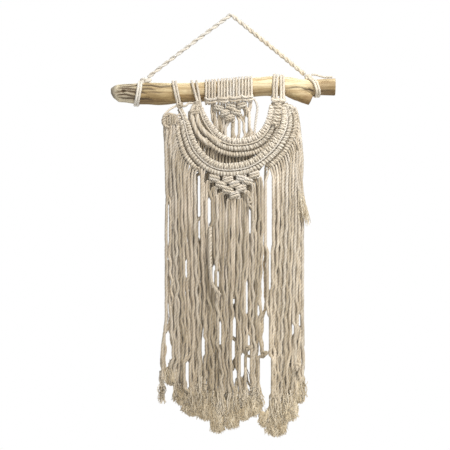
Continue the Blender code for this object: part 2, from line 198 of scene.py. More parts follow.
def twist_round(line, offset, turns, start):
    """A line that winds round another at that distance; turns is the count up to each point."""
    ahead = np.gradient(line, axis=0)
    ahead /= np.linalg.norm(ahead, axis=1)[:, None]
    one = np.zeros_like(ahead)
    side = np.array((0.0, -1.0, 0.0))
    for index, along in enumerate(ahead):
        side = side - along * side.dot(along)
        side /= np.linalg.norm(side)
        one[index] = side
    angle = (turns * WHOLE_TURN + start)[:, None]
    return line + offset * (one * np.cos(angle) + np.cross(ahead, one) * np.sin(angle))


def sized(line, radius):
    """A line whose rows also say the cord's radius there."""
    return np.column_stack([line, np.broadcast_to(radius, len(line))])


def cord_section(name, outline):
    """The outline of a cord of 1 mm radius, as angles and reaches, and a closed curve through it."""
    data = bpy.data.curves.new(name, "CURVE")
    data.dimensions = "2D"
    spline = data.splines.new("POLY")
    spline.points.add(len(outline) - 1)
    for point, (angle, reach) in zip(spline.points, outline):
        turn = -math.radians(angle)
        point.co = (reach * MM * math.cos(turn), reach * MM * math.sin(turn), 0.0, 1.0)
    spline.use_cyclic_u = True
    obj = placed(name, data)
    obj.hide_render = True
    return obj, outline


def plied(groove):
    """Three plies: two points on each ply's crown and one in the groove beside it."""
    crown = ((-29, 0.99), (29, 0.99), (60, groove))
    return [(120 * ply + angle, reach) for ply in range(3) for angle, reach in crown]


three_ply = cord_section("three_ply", plied(0.55))
soft_ply = cord_section("soft_ply", plied(0.74))
smooth_cord = cord_section("smooth_cord", [(45 * side, 1.0) for side in range(8)])
yarn = cord_section("yarn", [(0, 1.0), (120, 1.0), (240, 1.0)])


def mesh_of(source):
    """The mesh that a curve or a modified object makes; the source is removed."""
    bpy.context.view_layer.update()
    made = source.evaluated_get(bpy.context.evaluated_depsgraph_get())
    mesh = bpy.data.meshes.new_from_object(made)
    bpy.data.objects.remove(source, do_unlink=True)
    return mesh


def mark(mesh, **fields):
    """Stores numbers or vectors for each vertex, which the materials read."""
    for label, values in fields.items():
        kind, part = ("FLOAT", "value") if values.ndim == 1 else ("FLOAT_VECTOR", "vector")
        field = mesh.attributes.new(label, kind, "POINT")
        field.data.foreach_set(part, values.astype(np.float32).ravel())


def finish(name, mesh, material, node=None, smooth=True):
    """Puts a finished mesh on the body as a piece, in the place of its CAD node."""
    mesh.polygons.foreach_set("use_smooth", np.full(len(mesh.polygons), smooth))
    mesh.materials.clear()
    mesh.materials.append(material)
    mesh.name = name
    piece = placed(name, mesh)
    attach(piece, "root")
    if node:
        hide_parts(node)
    return piece


def lay_cords(name, lines, material, node=None, section=soft_ply, radius=2.0, lay=LAY, slot="cotton_cord"):
    """One piece made of cords. A line is rows of x, y, z and, where the cord's size changes, its radius."""
    bevel, outline = section
    data = bpy.data.curves.new(name, "CURVE")
    data.dimensions = "3D"
    data.bevel_mode = "OBJECT"
    data.bevel_object = bevel
    rings = []
    for line in lines:
        count = len(line)
        sizes = line[:, 3] if line.shape[1] > 3 else np.full(count, radius)
        run = run_of(line)
        spline = data.splines.new("POLY")
        spline.points.add(count - 1)
        spline.points.foreach_set("co", np.column_stack([line[:, :3] * MM, np.ones(count)]).ravel())
        spline.points.foreach_set("radius", sizes)
        spline.points.foreach_set("tilt", run * (WHOLE_TURN / lay) + chance.uniform(0, ROUND))
        rings.append(np.column_stack([np.full(count, chance.uniform()), run, sizes]))
    mesh = mesh_of(placed(name + "_lines", data))
    sides = len(outline)
    ends = bmesh.new()
    ends.from_mesh(mesh)
    bmesh.ops.holes_fill(ends, edges=[edge for edge in ends.edges if edge.is_boundary], sides=sides)
    ends.to_mesh(mesh)
    ends.free()
    shade, run, size = (column[:, None] for column in np.vstack(rings).T)
    angle, reach = np.array(outline).T
    across = size * reach * MM
    along = (run * FIBRE_STRETCH + shade * FIBRE_START) * MM + 0 * across
    fibre = np.stack([across * np.cos(np.radians(angle)), across * np.sin(np.radians(angle)), along], axis=2)
    low = reach.min()
    crown = (reach - low) / (reach.max() - low) if reach.max() > low else np.ones(sides)
    mark(
        mesh,
        shade=np.repeat(shade[:, 0], sides),
        crown=np.tile(crown, len(shade)),
        fibre=fibre.reshape(-1, 3),
    )
    return finish(name, mesh, material, node, smooth=sides > 3)


def spread(tree, source, low, high, faint=0.0, strong=1.0):
    """A mask that goes from faint to strong as its source goes from low to high."""
    ends = {"From_Min": low, "From_Max": high, "To_Min": faint, "To_Max": strong}
    return add(tree, "MapRange", Value=source, **ends).outputs["Result"]


def blend_in(tree, mask, first, second, blend="MIX"):
    """Mixes two colours, each a colour or a node's output, by a mask."""
    made = tree.nodes.new("ShaderNodeMix")
    made.data_type = "RGBA"
    made.blend_type = blend
    for index, value in ((0, mask), (6, first), (7, second)):
        if isinstance(value, tuple):
            made.inputs[index].default_value = (*value, 1.0)
        else:
            tree.links.new(value, made.inputs[index])
    return made.outputs[2]


def coats(tree, tone, rows):
    """Lays colours over a tone. A row is the mask's source and ends, the colour, and how it goes on."""
    for source, low, high, faint, strong, colour, blend in rows:
        tone = blend_in(tree, spread(tree, source, low, high, faint, strong), tone, colour, blend)
    return tone


def named(tree, label, output="Fac"):
    """What a mesh has stored under a name."""
    made = tree.nodes.new("ShaderNodeAttribute")
    made.attribute_name = label
    return made.outputs[output]


def mottle(tree, place, stretch=None, **looks):
    """Cloudy noise over a place, which may be stretched first."""
    if stretch:
        place = add(tree, "Mapping", Vector=place, Scale=stretch).outputs["Vector"]
    return add(tree, "TexNoise", Vector=place, **looks).outputs["Fac"]


def relief(tree, shader, rows):
    """Bumps one on another; a row is the height, its strength and its depth in metres."""
    for height, strength, depth in rows:
        bump = add(tree, "Bump", Height=height, Strength=strength, Distance=depth)
        if shader.inputs["Normal"].is_linked:
            tree.links.new(shader.inputs["Normal"].links[0].from_socket, bump.inputs["Normal"])
        tree.links.new(bump.outputs["Normal"], shader.inputs["Normal"])


def cotton(name, light, mid, groove, low_tint, uneven=0.35, turns=(-0.2, -0.6, 0.75), right_painted_shade=WHITE):
    """Matt cotton: each cord its own tone, with painted shade and dirt in the grooves between plies, painted
    shade at the left and, where a colour is given, at the right, and a tint towards the ends.
    """
    material, tree, shader = new_material(name, 0.92, 0.2)
    spot = add(tree, "TexCoord").outputs["Object"]
    parts = add(tree, "SeparateXYZ", Vector=spot).outputs
    shade = named(tree, "shade")
    stain = mottle(tree, spot, Scale=16.0, Detail=3.0, Roughness=0.6)
    lengths = mottle(tree, spot, (170.0, 170.0, 38.0), Scale=1.0, Detail=2.0, Roughness=0.55)
    fibres = mottle(tree, named(tree, "fibre", "Vector"), Scale=2300.0, Detail=2.0, Roughness=0.7)
    tone = blend_in(tree, spread(tree, shade, 0.0, 0.7), mid, light)
    tone = coats(
        tree,
        tone,
        (
            (shade, 0.74, 0.8, 0.0, 0.7, (0.84, 0.87, 0.92), "MULTIPLY"),  # one cord in four has greyed
            (stain, 0.35, 0.7, 0.0, 0.55, mid, "MIX"),  # faint, broad stains
            (lengths, 0.42, 0.64, 0.0, uneven, (0.60, 0.545, 0.45), "MULTIPLY"),  # lengths of cord duller at random
            (parts["Z"], turns[0], turns[1], 0.0, turns[2], low_tint, "MULTIPLY"),  # tinted lower down: yellower, but lighter in the inner fringe's cotton, where its painted shade ends
            (parts["X"], 0.085, -0.035, 0.0, 1.0, (0.83, 0.815, 0.80), "MULTIPLY"),  # painted shade towards the left, away from the key lamp, on duller cotton
            # painted shade, darker and warmer, towards the right where a colour is given
            (parts["X"], -0.01, 0.05, 0.0, 1.0, right_painted_shade, "MULTIPLY"),
            (named(tree, "crown"), 0.0, 0.8, 1.0, 0.0, groove, "MULTIPLY"),  # painted shade and dirt between the plies
            (fibres, 0.3, 0.7, 0.35, 0.0, (0.72, 0.66, 0.56), "MULTIPLY"),
        ),
    )
    feed(tree, shader, Base_Color=tone, Sheen_Weight=0.35, Sheen_Roughness=0.6)
    relief(tree, shader, [(fibres, 0.5, 0.0004)])
    return material


TANNED = (0.86, 0.80, 0.68)  # dust and age darken the cotton towards its foot
undyed = cotton("undyed_cotton", (0.87, 0.81, 0.715), (0.74, 0.675, 0.56), (0.38, 0.31, 0.23), TANNED)
# The hanger's cotton has painted shade on its right half, darker and warmer
bleached = cotton(
    "bleached_cotton", (0.86, 0.83, 0.76), (0.78, 0.735, 0.65), (0.78, 0.73, 0.65), WHITE, 0.25,
    right_painted_shade=(0.86, 0.80, 0.70),
)


route = through(HANGER)
per_mm = np.interp(route[:, 0], (-20.0, 20.0), (1 / LOOSE_PITCH, 1 / TIGHT_PITCH))
turns = np.concatenate([[0.0], np.cumsum(per_mm[1:] * np.diff(run_of(route)))])
pulled = np.interp(route[:, 0], (-30.0, 30.0), (0.86, 1.03))  # the left half has been pulled thinner
pair = [
    sized(twist_round(route, PAIR_OFFSET * pulled[:, None], turns, start), CORD_RADIUS * pulled)
    for start in (0.0, math.pi)
]
hanger = lay_cords("hanger_cord", pair, bleached, "hanger", lay=HANGER_LAY)


# ---- Hanger's tail --------------------------------------------------------------------------------------
# What is left of the hanger's cord after the right knot: it lies along the top of the branch and is cut
# off square.
TAIL_RADIUS = 1.6
route = through(((121.4, -1.5, -86.6), (128.5, -2.0, -87.0), (141.0, -2.5, -90.4), (153.0, -3.0, -90.0)))
tail = lay_cords("hanger_tail_cord", [route], bleached, "hanger_tail", three_ply, TAIL_RADIUS)


# ---- Side strand ----------------------------------------------------------------------------------------
# One strand of the rightmost lark's head hangs in a shallow curve beside the centre panel, and goes down
# behind the inner swag.
route = through(
    (
        (34.6, -15.8, -123.6), (38.4, -16.0, -131.0), (39.6, -16.2, -140.0), (38.0, -16.2, -151.5),
        (36.5, -16.0, -163.0), (35.4, -15.6, -176.0), (35.2, -15.2, -190.0),
    )
)
side = lay_cords("side_strand_cord", [route], undyed, "side_strand", three_ply)


# ---- Branch ---------------------------------------------------------------------------------------------
# A length of peeled, dried branch with long drying cracks and a knot hole in its left half. It is worn
# round and grey at the left, sawn square at the right, and keeps the stub of a side branch underneath.
BRANCH = (
    # x, height of the axis, radius
    (-179.0, -118.6, 4.0), (-178.0, -118.0, 8.0), (-175.2, -116.6, 11.6), (-169.5, -115.3, 13.7),
    (-160.5, -114.8, 14.4), (-142.5, -115.3, 16.0), (-124.5, -115.0, 16.8), (-106.5, -115.8, 16.8),
    (-76.5, -114.0, 15.2), (-46.5, -112.8, 14.6), (-1.5, -108.8, 14.3), (46.5, -104.4, 14.5),
    (64.5, -103.9, 15.3), (88.5, -104.4, 13.6), (105.0, -105.5, 12.3), (121.5, -106.0, 11.9),
    (141.0, -105.0, 12.4), (157.5, -105.0, 12.9),
)
STUB = (
    # x, y, z, radius
    (76.0, 0.0, -104.0, 9.0), (92.0, -2.5, -112.0, 10.5), (108.0, -4.5, -119.5, 9.2),
    (120.5, -5.5, -125.5, 8.0),
)
CRACKS = (
    # from x, to x, degrees above the front at each end, width, depth
    (-171.0, -84.0, 47.0, 40.0, 1.6, 2.4), (-176.0, -126.0, 12.0, 0.0, 1.7, 2.4),
    (-168.0, -112.0, 27.0, 17.0, 1.4, 1.5), (-172.0, -116.0, -28.0, -40.0, 1.6, 1.8),
    (-173.0, -140.0, -12.0, -18.0, 1.5, 1.6), (-170.0, -146.0, 62.0, 58.0, 1.3, 1.4),
    (-172.0, -150.0, 34.0, 30.0, 1.3, 1.6), (-140.0, -92.0, 66.0, 74.0, 0.9, 0.8),
    (-128.0, -100.0, 6.0, 2.0, 0.9, 0.8), (-112.0, -84.0, 52.0, 49.0, 0.9, 0.8),
    (-70.0, -20.0, -28.0, -24.0, 0.6, 0.6), (80.0, 110.0, -16.0, -6.0, 1.2, 0.8),
    (104.0, 120.0, -6.0, -26.0, 1.2, 1.0), (115.0, 125.0, -14.0, -30.0, 1.4, 1.4),
    (118.0, 157.0, -34.0, -38.0, 0.9, 0.7), (124.0, 157.0, 26.0, 24.0, 0.6, 0.4),
    (-150.0, 20.0, 176.0, 168.0, 0.9, 1.1), (30.0, 140.0, 200.0, 190.0, 0.8, 0.8),
)
GRAIN = (
    # height, how fast it changes along the branch and across it, where it starts
    (0.9, 0.018, 0.05, 0), (0.55, 0.045, 0.09, 9), (0.3, 0.012, 0.42, 0), (0.12, 0.05, 1.1, 0),
)
KNOT_HOLE = (-162.5, 12.0, 2.6, 2.2)  # x, degrees above the front, radius, depth
SAWN_FROM, SAWN_END = 155.5, 157.6
VOXEL = 1.05


def axis_at(x):
    """Height of the branch's axis and its radius at x."""
    table_x, table_z, table_radius = np.array(BRANCH).T
    return np.interp(x, table_x, table_z), np.interp(x, table_x, table_radius)


whole = bmesh.new()
for rows in ([(x, 0.0, z, radius) for x, z, radius in BRANCH], STUB):
    rows = through(rows, 3.0)
    data = bpy.data.curves.new("limb", "CURVE")
    data.dimensions = "3D"
    data.bevel_depth = MM
    data.bevel_resolution = 8
    data.use_fill_caps = True
    spline = data.splines.new("POLY")
    spline.points.add(len(rows) - 1)
    spline.points.foreach_set("co", np.column_stack([rows[:, :3] * MM, np.ones(len(rows))]).ravel())
    spline.points.foreach_set("radius", rows[:, 3])
    whole.from_mesh(mesh_of(placed("limb", data)))
mesh = bpy.data.meshes.new("rough_branch")
whole.to_mesh(mesh)
whole.free()
rough = placed("rough_branch", mesh)
remesh = rough.modifiers.new("remesh", "REMESH")
remesh.mode = "VOXEL"
remesh.voxel_size = VOXEL * MM
mesh = mesh_of(rough)


def per_vertex(mesh, what):
    """A vector of each vertex of a mesh."""
    values = np.empty(len(mesh.vertices) * 3)
    mesh.vertices.foreach_get(what, values)
    return values.reshape(-1, 3)


def bell(distance, width, power=2):
    """1 at no distance, falling away smoothly beyond the width."""
    return np.exp(-((distance / width) ** power))


def cloud(*place):
    """Smooth noise at a place."""
    return noise.noise(Vector(place))


# Lumps and grain, then the cracks and the knot hole; each vertex keeps how dark its crack is: painted shade
# inside the cracks and the knot hole, and a fainter stain beside each crack
place, outwards = per_vertex(mesh, "co") / MM, per_vertex(mesh, "normal")
x = place[:, 0]
axis, radius = axis_at(x)
degrees = np.degrees(np.arctan2(place[:, 2] - axis, -place[:, 1])) % 360
lift = np.array(
    [
        sum(size * cloud(px * along + start, py * across, pz * across) for size, along, across, start in GRAIN)
        for px, py, pz in place
    ]
)
lift *= 1 + 0.5 * np.clip((-110 - x) / 60, 0, 1)
dark = np.zeros(len(x))


def round_from(at):
    """How far round the branch each vertex is from a place, as an angle."""
    return np.radians((degrees - at + 180) % 360 - 180)


for start, end, first, last, width, depth in CRACKS:
    part = np.clip((x - start) / (end - start), 0, 1)
    wander = 2.5 * np.sin(x * 0.11 + first) + 1.5 * np.sin(x * 0.27 + last)
    distance = np.abs(round_from(first + (last - first) * part + wander)) * radius
    taper = np.sin(np.pi * part) ** 0.4 * ((x > start) & (x < end))
    cut = bell(distance, width) * taper
    lift -= depth * cut
    stain = 0.5 * bell(distance, 2.6 * width) * taper
    dark = np.maximum(dark, np.maximum(cut, stain) * min(1.0, depth / 1.3))
hole_x, hole_at, hole_radius, hole_depth = KNOT_HOLE
distance = np.hypot((x - hole_x) * 0.8, round_from(hole_at) * radius)
cut = bell(distance, hole_radius, 4)
lift += 0.7 * bell(distance - hole_radius * 1.5, 1.6) - hole_depth * cut
sawn = np.clip((x - SAWN_FROM) / 2.0, 0, 1)
flat_end = (np.abs(outwards[:, 0]) > 0.9) & (x > 150)
mark(mesh, crack=np.maximum(dark, cut), sawn=flat_end)
place += outwards * (lift * (1 - sawn))[:, None]
place[:, 0] = np.minimum(place[:, 0], SAWN_END)
mesh.vertices.foreach_set("co", (place * MM).ravel())
mesh.update()


def both(tree, first, second):
    """A mask where two others are both strong."""
    made = tree.nodes.new("ShaderNodeMath")
    made.operation = "MULTIPLY"
    tree.links.new(first, made.inputs[0])
    tree.links.new(second, made.inputs[1])
    return made.outputs["Value"]


# Dry wood: long streaks of grain from cream to tan, brown cracks with painted shade in them, grey wear at the
# left end, and painted shade underneath and at the right end
wood, tree, shader = new_material("dry_peeled_wood", 0.62, 0.35)
spot = add(tree, "TexCoord").outputs["Object"]
parts = add(tree, "SeparateXYZ", Vector=spot).outputs
streaks = mottle(tree, spot, (9.0, 150.0, 150.0), Scale=1.0, Detail=6.0, Roughness=0.62, Distortion=0.4)
pores = mottle(tree, spot, (30.0, 900.0, 900.0), Scale=1.0, Detail=3.0, Roughness=0.6)
blotch = mottle(tree, spot, Scale=26.0, Detail=4.0, Roughness=0.6)
# Painted shade: the right end is darker, most of all on its lower half
right_end = spread(tree, parts["X"], 0.110, 0.148)
shaded_end = both(tree, right_end, spread(tree, parts["Z"], -0.093, -0.106, 0.35, 1.0))
left_end = spread(tree, parts["X"], -0.08, -0.14, 0.12, 0.75)
checks = both(tree, spread(tree, streaks, 0.47, 0.38), left_end)
tone = blend_in(tree, spread(tree, streaks, 0.38, 0.62), (0.52, 0.39, 0.205), (0.85, 0.755, 0.51))
tone = coats(
    tree,
    tone,
    (
        (blotch, 0.5, 0.68, 0.0, 0.5, (0.36, 0.245, 0.125), "MIX"),  # left-over bark
        (parts["Z"], -0.097, -0.120, 0.0, 1.0, (0.52, 0.44, 0.33), "MULTIPLY"),  # painted shade: darker and browner on the underside
        # painted shade on the right end
        (shaded_end, 0.0, 1.0, 0.0, 1.0, (0.43, 0.355, 0.27), "MULTIPLY"),
        (parts["X"], -0.06, -0.14, 0.0, 0.8, (0.74, 0.70, 0.58), "MULTIPLY"),  # the left half is older wood, and has painted shade away from the key lamp
        (parts["X"], -0.136, -0.150, 0.0, 0.6, (0.74, 0.69, 0.54), "MIX"),  # bleached by the sun
        (parts["X"], -0.1685, -0.1775, 0.0, 0.8, (0.25, 0.215, 0.165), "MIX"),  # dirt on the worn end
        (checks, 0.0, 1.0, 0.0, 1.0, (0.17, 0.115, 0.065), "MIX"),
        (pores, 0.30, 0.52, 0.5, 0.0, (0.55, 0.45, 0.33), "MULTIPLY"),
        (named(tree, "sawn"), 0.0, 1.0, 0.0, 1.0, (0.74, 0.60, 0.40), "MIX"),
        # painted shade inside the cracks and the knot hole, and a fainter stain beside each crack
        (named(tree, "crack"), 0.15, 0.62, 0.0, 0.95, (0.10, 0.065, 0.035), "MIX"),
    ),
)
feed(tree, shader, Base_Color=tone)
relief(tree, shader, [(streaks, 0.55, 0.0007), (pores, 0.4, 0.0003)])
finish("peeled_branch", mesh, wood, "branch")


# ---- Ties of the hanger ---------------------------------------------------------------------------------
# At each end the hanger's cord goes twice round the branch, slanting, and closes in an overhand knot on
# top of it.
TURNED_TO = (100, 60, 25, -20, -60, -90, -180, -260)  # degrees above the front, down the front and up the back
TIES = (
    # name, x of its turns at those degrees, place and size of the knot
    (
        "tie_left",
        (-134.5, -137.0, -137.5, -140.0, -142.5, -143.5, -139.0, -134.5),
        (-129.4, -4.0, -96.2),
        (2.5, 1.3, 1.35),
    ),
    (
        "tie_right",
        (117.5, 122.0, 127.5, 130.8, 131.2, 130.0, 124.0, 117.5),
        (115.8, -1.5, -90.0),
        (1.3, 1.0, 0.95),
    ),
)


def round_the_branch(x, degrees, clear, sway=0.0, aside=0.0):
    """A point round the branch, clear of its surface: 0 degrees is its front and 90 its top."""
    turn = math.radians(degrees)
    axis, radius = axis_at(x)
    reach = radius + clear
    return x + aside + sway * math.sin(turn), -reach * math.cos(turn), axis + reach * math.sin(turn)


def overhand(centre, size):
    """The line of a pulled-tight overhand knot."""
    line = []
    for turn in np.linspace(0, WHOLE_TURN, 40):
        up = math.cos(turn) - 2 * math.cos(2 * turn)
        along = math.sin(turn) + 2 * math.sin(2 * turn) + 0.4 * up
        deep = -1.6 * math.sin(3 * turn)
        line.append([middle + reach * way for middle, reach, way in zip(centre, size, (along, deep, up))])
    return line


for name, turns_at, knot, size in TIES:
    lines = []
    for aside in (-2.0, 2.0):
        line = []
        for degrees in range(100, -261, -15):
            at = np.interp(-degrees, [-turned for turned in TURNED_TO], turns_at)
            line.append(round_the_branch(at + aside, degrees, 1.9))
        lines.append(through(line, pieces=5))
    lines.append(sized(through(overhand(knot, size), pieces=6), 2.2))
    lay_cords(name, lines, bleached, "hanger_" + name, smooth_cord, 1.95, 30.0)


# ---- Lark's heads over the branch -----------------------------------------------------------------------
# The cords of the centre panel and of the right ends of both swags are folded over the branch in double
# lark's heads: upright turns side by side, with the fold lying in bars across the front of them.
HEADS = (
    # node, x of the middle, width, upright turns, foot of the strands, foot of the bars, bars, sway
    ("panel_mount_1", -30.4, 17.6, 4, -133.2, -131.5, 2, 0.0),
    ("panel_mount_2", -12.0, 17.8, 4, -131.9, -130.2, 2, 0.0),
    ("panel_mount_3", 5.9, 17.4, 4, -130.8, -129.1, 2, 0.0),
    ("panel_mount_4", 24.0, 17.8, 4, -129.5, -127.8, 2, 0.0),
    ("right_mount_inner", 66.2, 9.2, 2, -138.0, -129.0, 1, 1.6),
    ("right_mount_outer", 77.0, 8.6, 2, -141.0, -129.5, 1, 0.0),
)
CORD_OUT = 2.05  # from the branch's surface to the middle of a cord that lies on it
TAUT_LAY = 26.0  # pulled taut, a cord's plies lie straighter
taut = cotton("taut_cotton", (0.81, 0.75, 0.65), (0.68, 0.61, 0.50), (0.70, 0.63, 0.53), WHITE, 0.45)
for node, x, width, uprights, foot, bars_foot, bars, leans in HEADS:
    lines = []
    for index in range(uprights):
        at = x + (index - (uprights - 1) / 2) * width / uprights + chance.normal(0, 0.15)
        radius = axis_at(at)[1]
        sway = chance.normal(0, 0.3) + leans
        line = [(at, -radius - 4.9, bars_foot + 2.4), (at, -radius - 4.4, bars_foot + 4.0 * bars + 1.6)]
        for degrees in (2, 40, 80, 120, 160, 200, 240, 275, 305):
            line.append(round_the_branch(at, degrees, CORD_OUT, sway))
        line += [(at, -radius - 0.9, bars_foot + 2.5), (at, -radius - 0.9, foot)]
        lines.append(through(line))
    front = -axis_at(x)[1]
    half = width / 2
    for index in range(bars):
        level = bars_foot + 2.0 + 4.4 * index
        droop = chance.normal(0, 0.3)
        stand = 1.6 if index == bars - 1 else 0.0
        bar = through(
            (
                (x - half + 1.2, front - 3.2, level + 2.6),
                (x - half + 1.2, front - 4.6 - stand, level + 0.9),
                (x - half * 0.4, front - 5.6 - stand, level - 0.2 + droop),
                (x + half * 0.4, front - 5.6 - stand, level - droop),
                (x + half - 1.2, front - 4.6 - stand, level + 0.9),
                (x + half - 1.2, front - 3.2, level + 2.6),
            )
        )
        lines.append(sized(bar, 2.1 if bars > 1 else 3.1))
    lay_cords(node + "_cords", lines, taut, node, radius=1.85 if bars > 1 else 2.1, lay=TAUT_LAY)


# ---- Centre panel ---------------------------------------------------------------------------------------
# Below the four lark's heads the sixteen strands are tied in alternating square knots, three, two and one,
# so that they close in a small triangle.
PANEL_DEPTH = -15.0
PANEL_KNOTS = (
    # x, z, and 1 or -1 for the side on which the knot begins
    (-19.0, -137.6, 1), (-0.8, -136.0, 1), (17.3, -134.0, -1), (-9.3, -145.2, -1), (7.4, -143.8, 1),
    (-0.8, -152.6, -1),
)
KNOT_CORD = 2.05
# A square knot's four strands as shares of its half width and half height, and how deep they lie: one goes
# over, one goes under, and two run straight down its middle
SQUARE_KNOT = (
    (
        (-0.55, 0.4, 1.3), (-0.98, -0.6, 0.85), (-0.5, -3.0, 0.72), (0.3, -3.4, 0.38), (0.98, -1.4, 0.12),
        (0.9, 1.6, -0.1), (0.0, 2.8, -0.3), (-0.9, 1.6, -0.45), (-1.0, -0.4, -0.85), (-0.62, 0.3, -1.35),
    ),
    (
        (0.55, 0.4, 1.3), (1.0, 0.6, 0.85), (0.6, 2.2, 0.55), (-0.5, 2.6, 0.35), (-1.0, 0.2, 0.12),
        (-0.7, -2.6, -0.12), (0.1, -3.5, -0.45), (0.8, -2.2, -0.72), (0.98, -0.2, -0.95), (0.62, 0.3, -1.35),
    ),
    ((-0.26, 0.2, 1.3), (-0.22, 0.0, 0.0), (-0.26, 0.2, -1.35)),
    ((0.26, 0.2, 1.3), (0.22, 0.0, 0.0), (0.26, 0.2, -1.35)),
)


def square_knots(name, node, knots, y, width, height, uneven, material):
    """A triangle of square knots, of that width and height each."""
    lines = []
    for x, z, side in knots:
        x, z = x + chance.normal(0, 0.4), z + chance.normal(0, uneven)
        for part in SQUARE_KNOT:
            line = [(x + side * u * (width / 2 - 1.9), y + v, z + t * height / 2) for u, v, t in part]
            lines.append(through(line, pieces=8))
    lay_cords(name, lines, material, node, three_ply, KNOT_CORD)


# Painted shade: darker cotton with dark grooves for the ridges, the closing row and the small square knots, as
# in the shade below the rows
shadier = cotton("ridge_cotton", (0.79, 0.72, 0.60), (0.60, 0.53, 0.42), (0.34, 0.275, 0.195), TANNED)
square_knots("panel_square_knots", "panel_knots", PANEL_KNOTS, PANEL_DEPTH - 1.0, 16.2, 8.2, 0.3, shadier)


# ---- Left ends of the swags -----------------------------------------------------------------------------
# The holding cords of each swag hang from the branch in a doubled loop. Below the branch each loop is
# bound with a few turns; a loose cord bridges the two, and another carries the cap at the far left.
LOOPS = (
    # node, x of the middle, x gained for each mm of height, half spacing at the top, front, back, foot
    ("left_loop_outer", -82.0, -0.21, 2.15, -12.4, -8.0, -137.0),
    ("left_loop_inner", -52.0, -0.22, 3.6, -16.2, -11.0, -135.0),
)
FOOT_HALF = 1.9
for node, x, lean, top_half, front, back, foot in LOOPS:
    axis, radius = axis_at(x)
    lines = []
    for side in (-1, 1):
        below = [
            (x + lean * (z - axis) + side * FOOT_HALF, y, z)
            for y, z in ((front, foot), (front - 0.5, foot + 7.0), (back + 1.0, foot + 6.0), (back, foot))
        ]
        over = []
        for degrees in (-25, 10, 45, 90, 135, 180, 225, 262):
            share = (math.sin(math.radians(degrees)) + 1) / 2
            half = FOOT_HALF + (top_half - FOOT_HALF) * share
            over.append(round_the_branch(x, degrees, CORD_OUT, lean * (radius + CORD_OUT), side * half))
        lines.append(through([*below[:2], *over, *below[2:]]))
    lay_cords(node + "_cords", lines, taut, node, lay=TAUT_LAY)

CAP_CORD = (
    (-78.0, -12.5, -131.6), (-83.0, -11.5, -134.4), (-91.0, -14.5, -139.2), (-97.0, -19.0, -144.8),
    (-101.0, -23.0, -150.0),
)
BRIDGE_CORD = (
    (-77.0, -12.0, -133.0), (-72.6, -12.5, -135.0), (-68.0, -13.0, -134.2), (-63.5, -13.0, -130.2),
    (-57.2, -13.5, -130.6), (-53.0, -14.0, -133.0),
)
lay_cords("cap_cord_strand", [through(CAP_CORD)], taut, "cap_cord", radius=1.8)
lay_cords("bridge_cord_strand", [through(BRIDGE_CORD)], taut, "bridge_cord", radius=1.8)
aged = cotton("aged_cotton", (0.66, 0.58, 0.46), (0.50, 0.43, 0.32), (0.48, 0.41, 0.32), TANNED)
# The cap: five strands folded over its cord, and one that wraps them at the left
LOOP_OVER = (
    (0.6, -22.0, -9.0), (0.4, -21.5, -2.0), (0.0, -23.5, 2.6), (-0.4, -26.6, 1.2), (-0.6, -27.2, -4.0),
    (-0.3, -26.0, -12.0),
)
WRAP = (
    (-86.5, -22.0, -148.0), (-92.5, -27.0, -147.6), (-98.2, -28.8, -150.0), (-101.2, -28.6, -155.4),
    (-101.2, -28.2, -161.0), (-98.0, -28.0, -165.6), (-91.5, -27.0, -167.0),
)
cap_loops = []
for index in range(5):
    x, z = -98.5 + 3.7 * index, -153.0 + 0.3 * index + (0.8 if index else -1.2)
    cap_loops.append(through([(x + u, y, z + t) for u, y, t in LOOP_OVER]))
wrap = through(WRAP)
thick = np.interp(np.arange(len(wrap)), (0, 8, len(wrap) - 6, len(wrap) - 1), (2.0, 2.9, 2.7, 1.8))
lay_cords("cap_loops", [*cap_loops, sized(wrap, thick)], aged, "left_cap", three_ply, KNOT_CORD)

BINDINGS = (
    # place, half width, half depth, height, turns, slant, how far inside that outline the cord's middle runs
    ((-76.8, -10.5, -133.6), 4.8, 4.6, 5.2, 2, 0.8, 1.5),
    ((-51.0, -14.0, -134.0), 7.2, 5.8, 12.0, 4, 1.5, 1.8),
    ((-54.6, -19.0, -145.0), 8.4, 5.0, 6.0, 2, 0.6, 1.5),
)
bindings = []
for (x, y, z), across, deep, height, count, slant, inside in BINDINGS:
    share = np.linspace(0, 1, count * 16 + 1)
    turn = WHOLE_TURN * count * share
    wound_x, wound_y = x + (across - inside) * np.cos(turn), y - (deep - inside) * np.sin(turn)
    wound_z = z + height * (0.5 - share) + slant * np.cos(turn)
    bindings.append(through(np.column_stack([wound_x, wound_y, wound_z]), pieces=3))
lay_cords("loop_bindings", bindings, aged, section=three_ply, radius=1.7)
loop_knot = through(overhand((-76.4, -14.0, -134.6), (1.2, 1.1, 1.1)), pieces=6)
lay_cords("loop_knot", [loop_knot], aged, section=three_ply, radius=1.6)


# ---- Strands behind the swags' rows ---------------------------------------------------------------------
# Both swags are tied on holding cords that hang in a curve. Behind their rows of knots the strands go
# straight down, in the rows' shade, from the lark's heads to where they come out; that shade is painted into
# their darker cotton.
INNER_DEPTH = -23.2
OUTER_DEPTH = -33.0
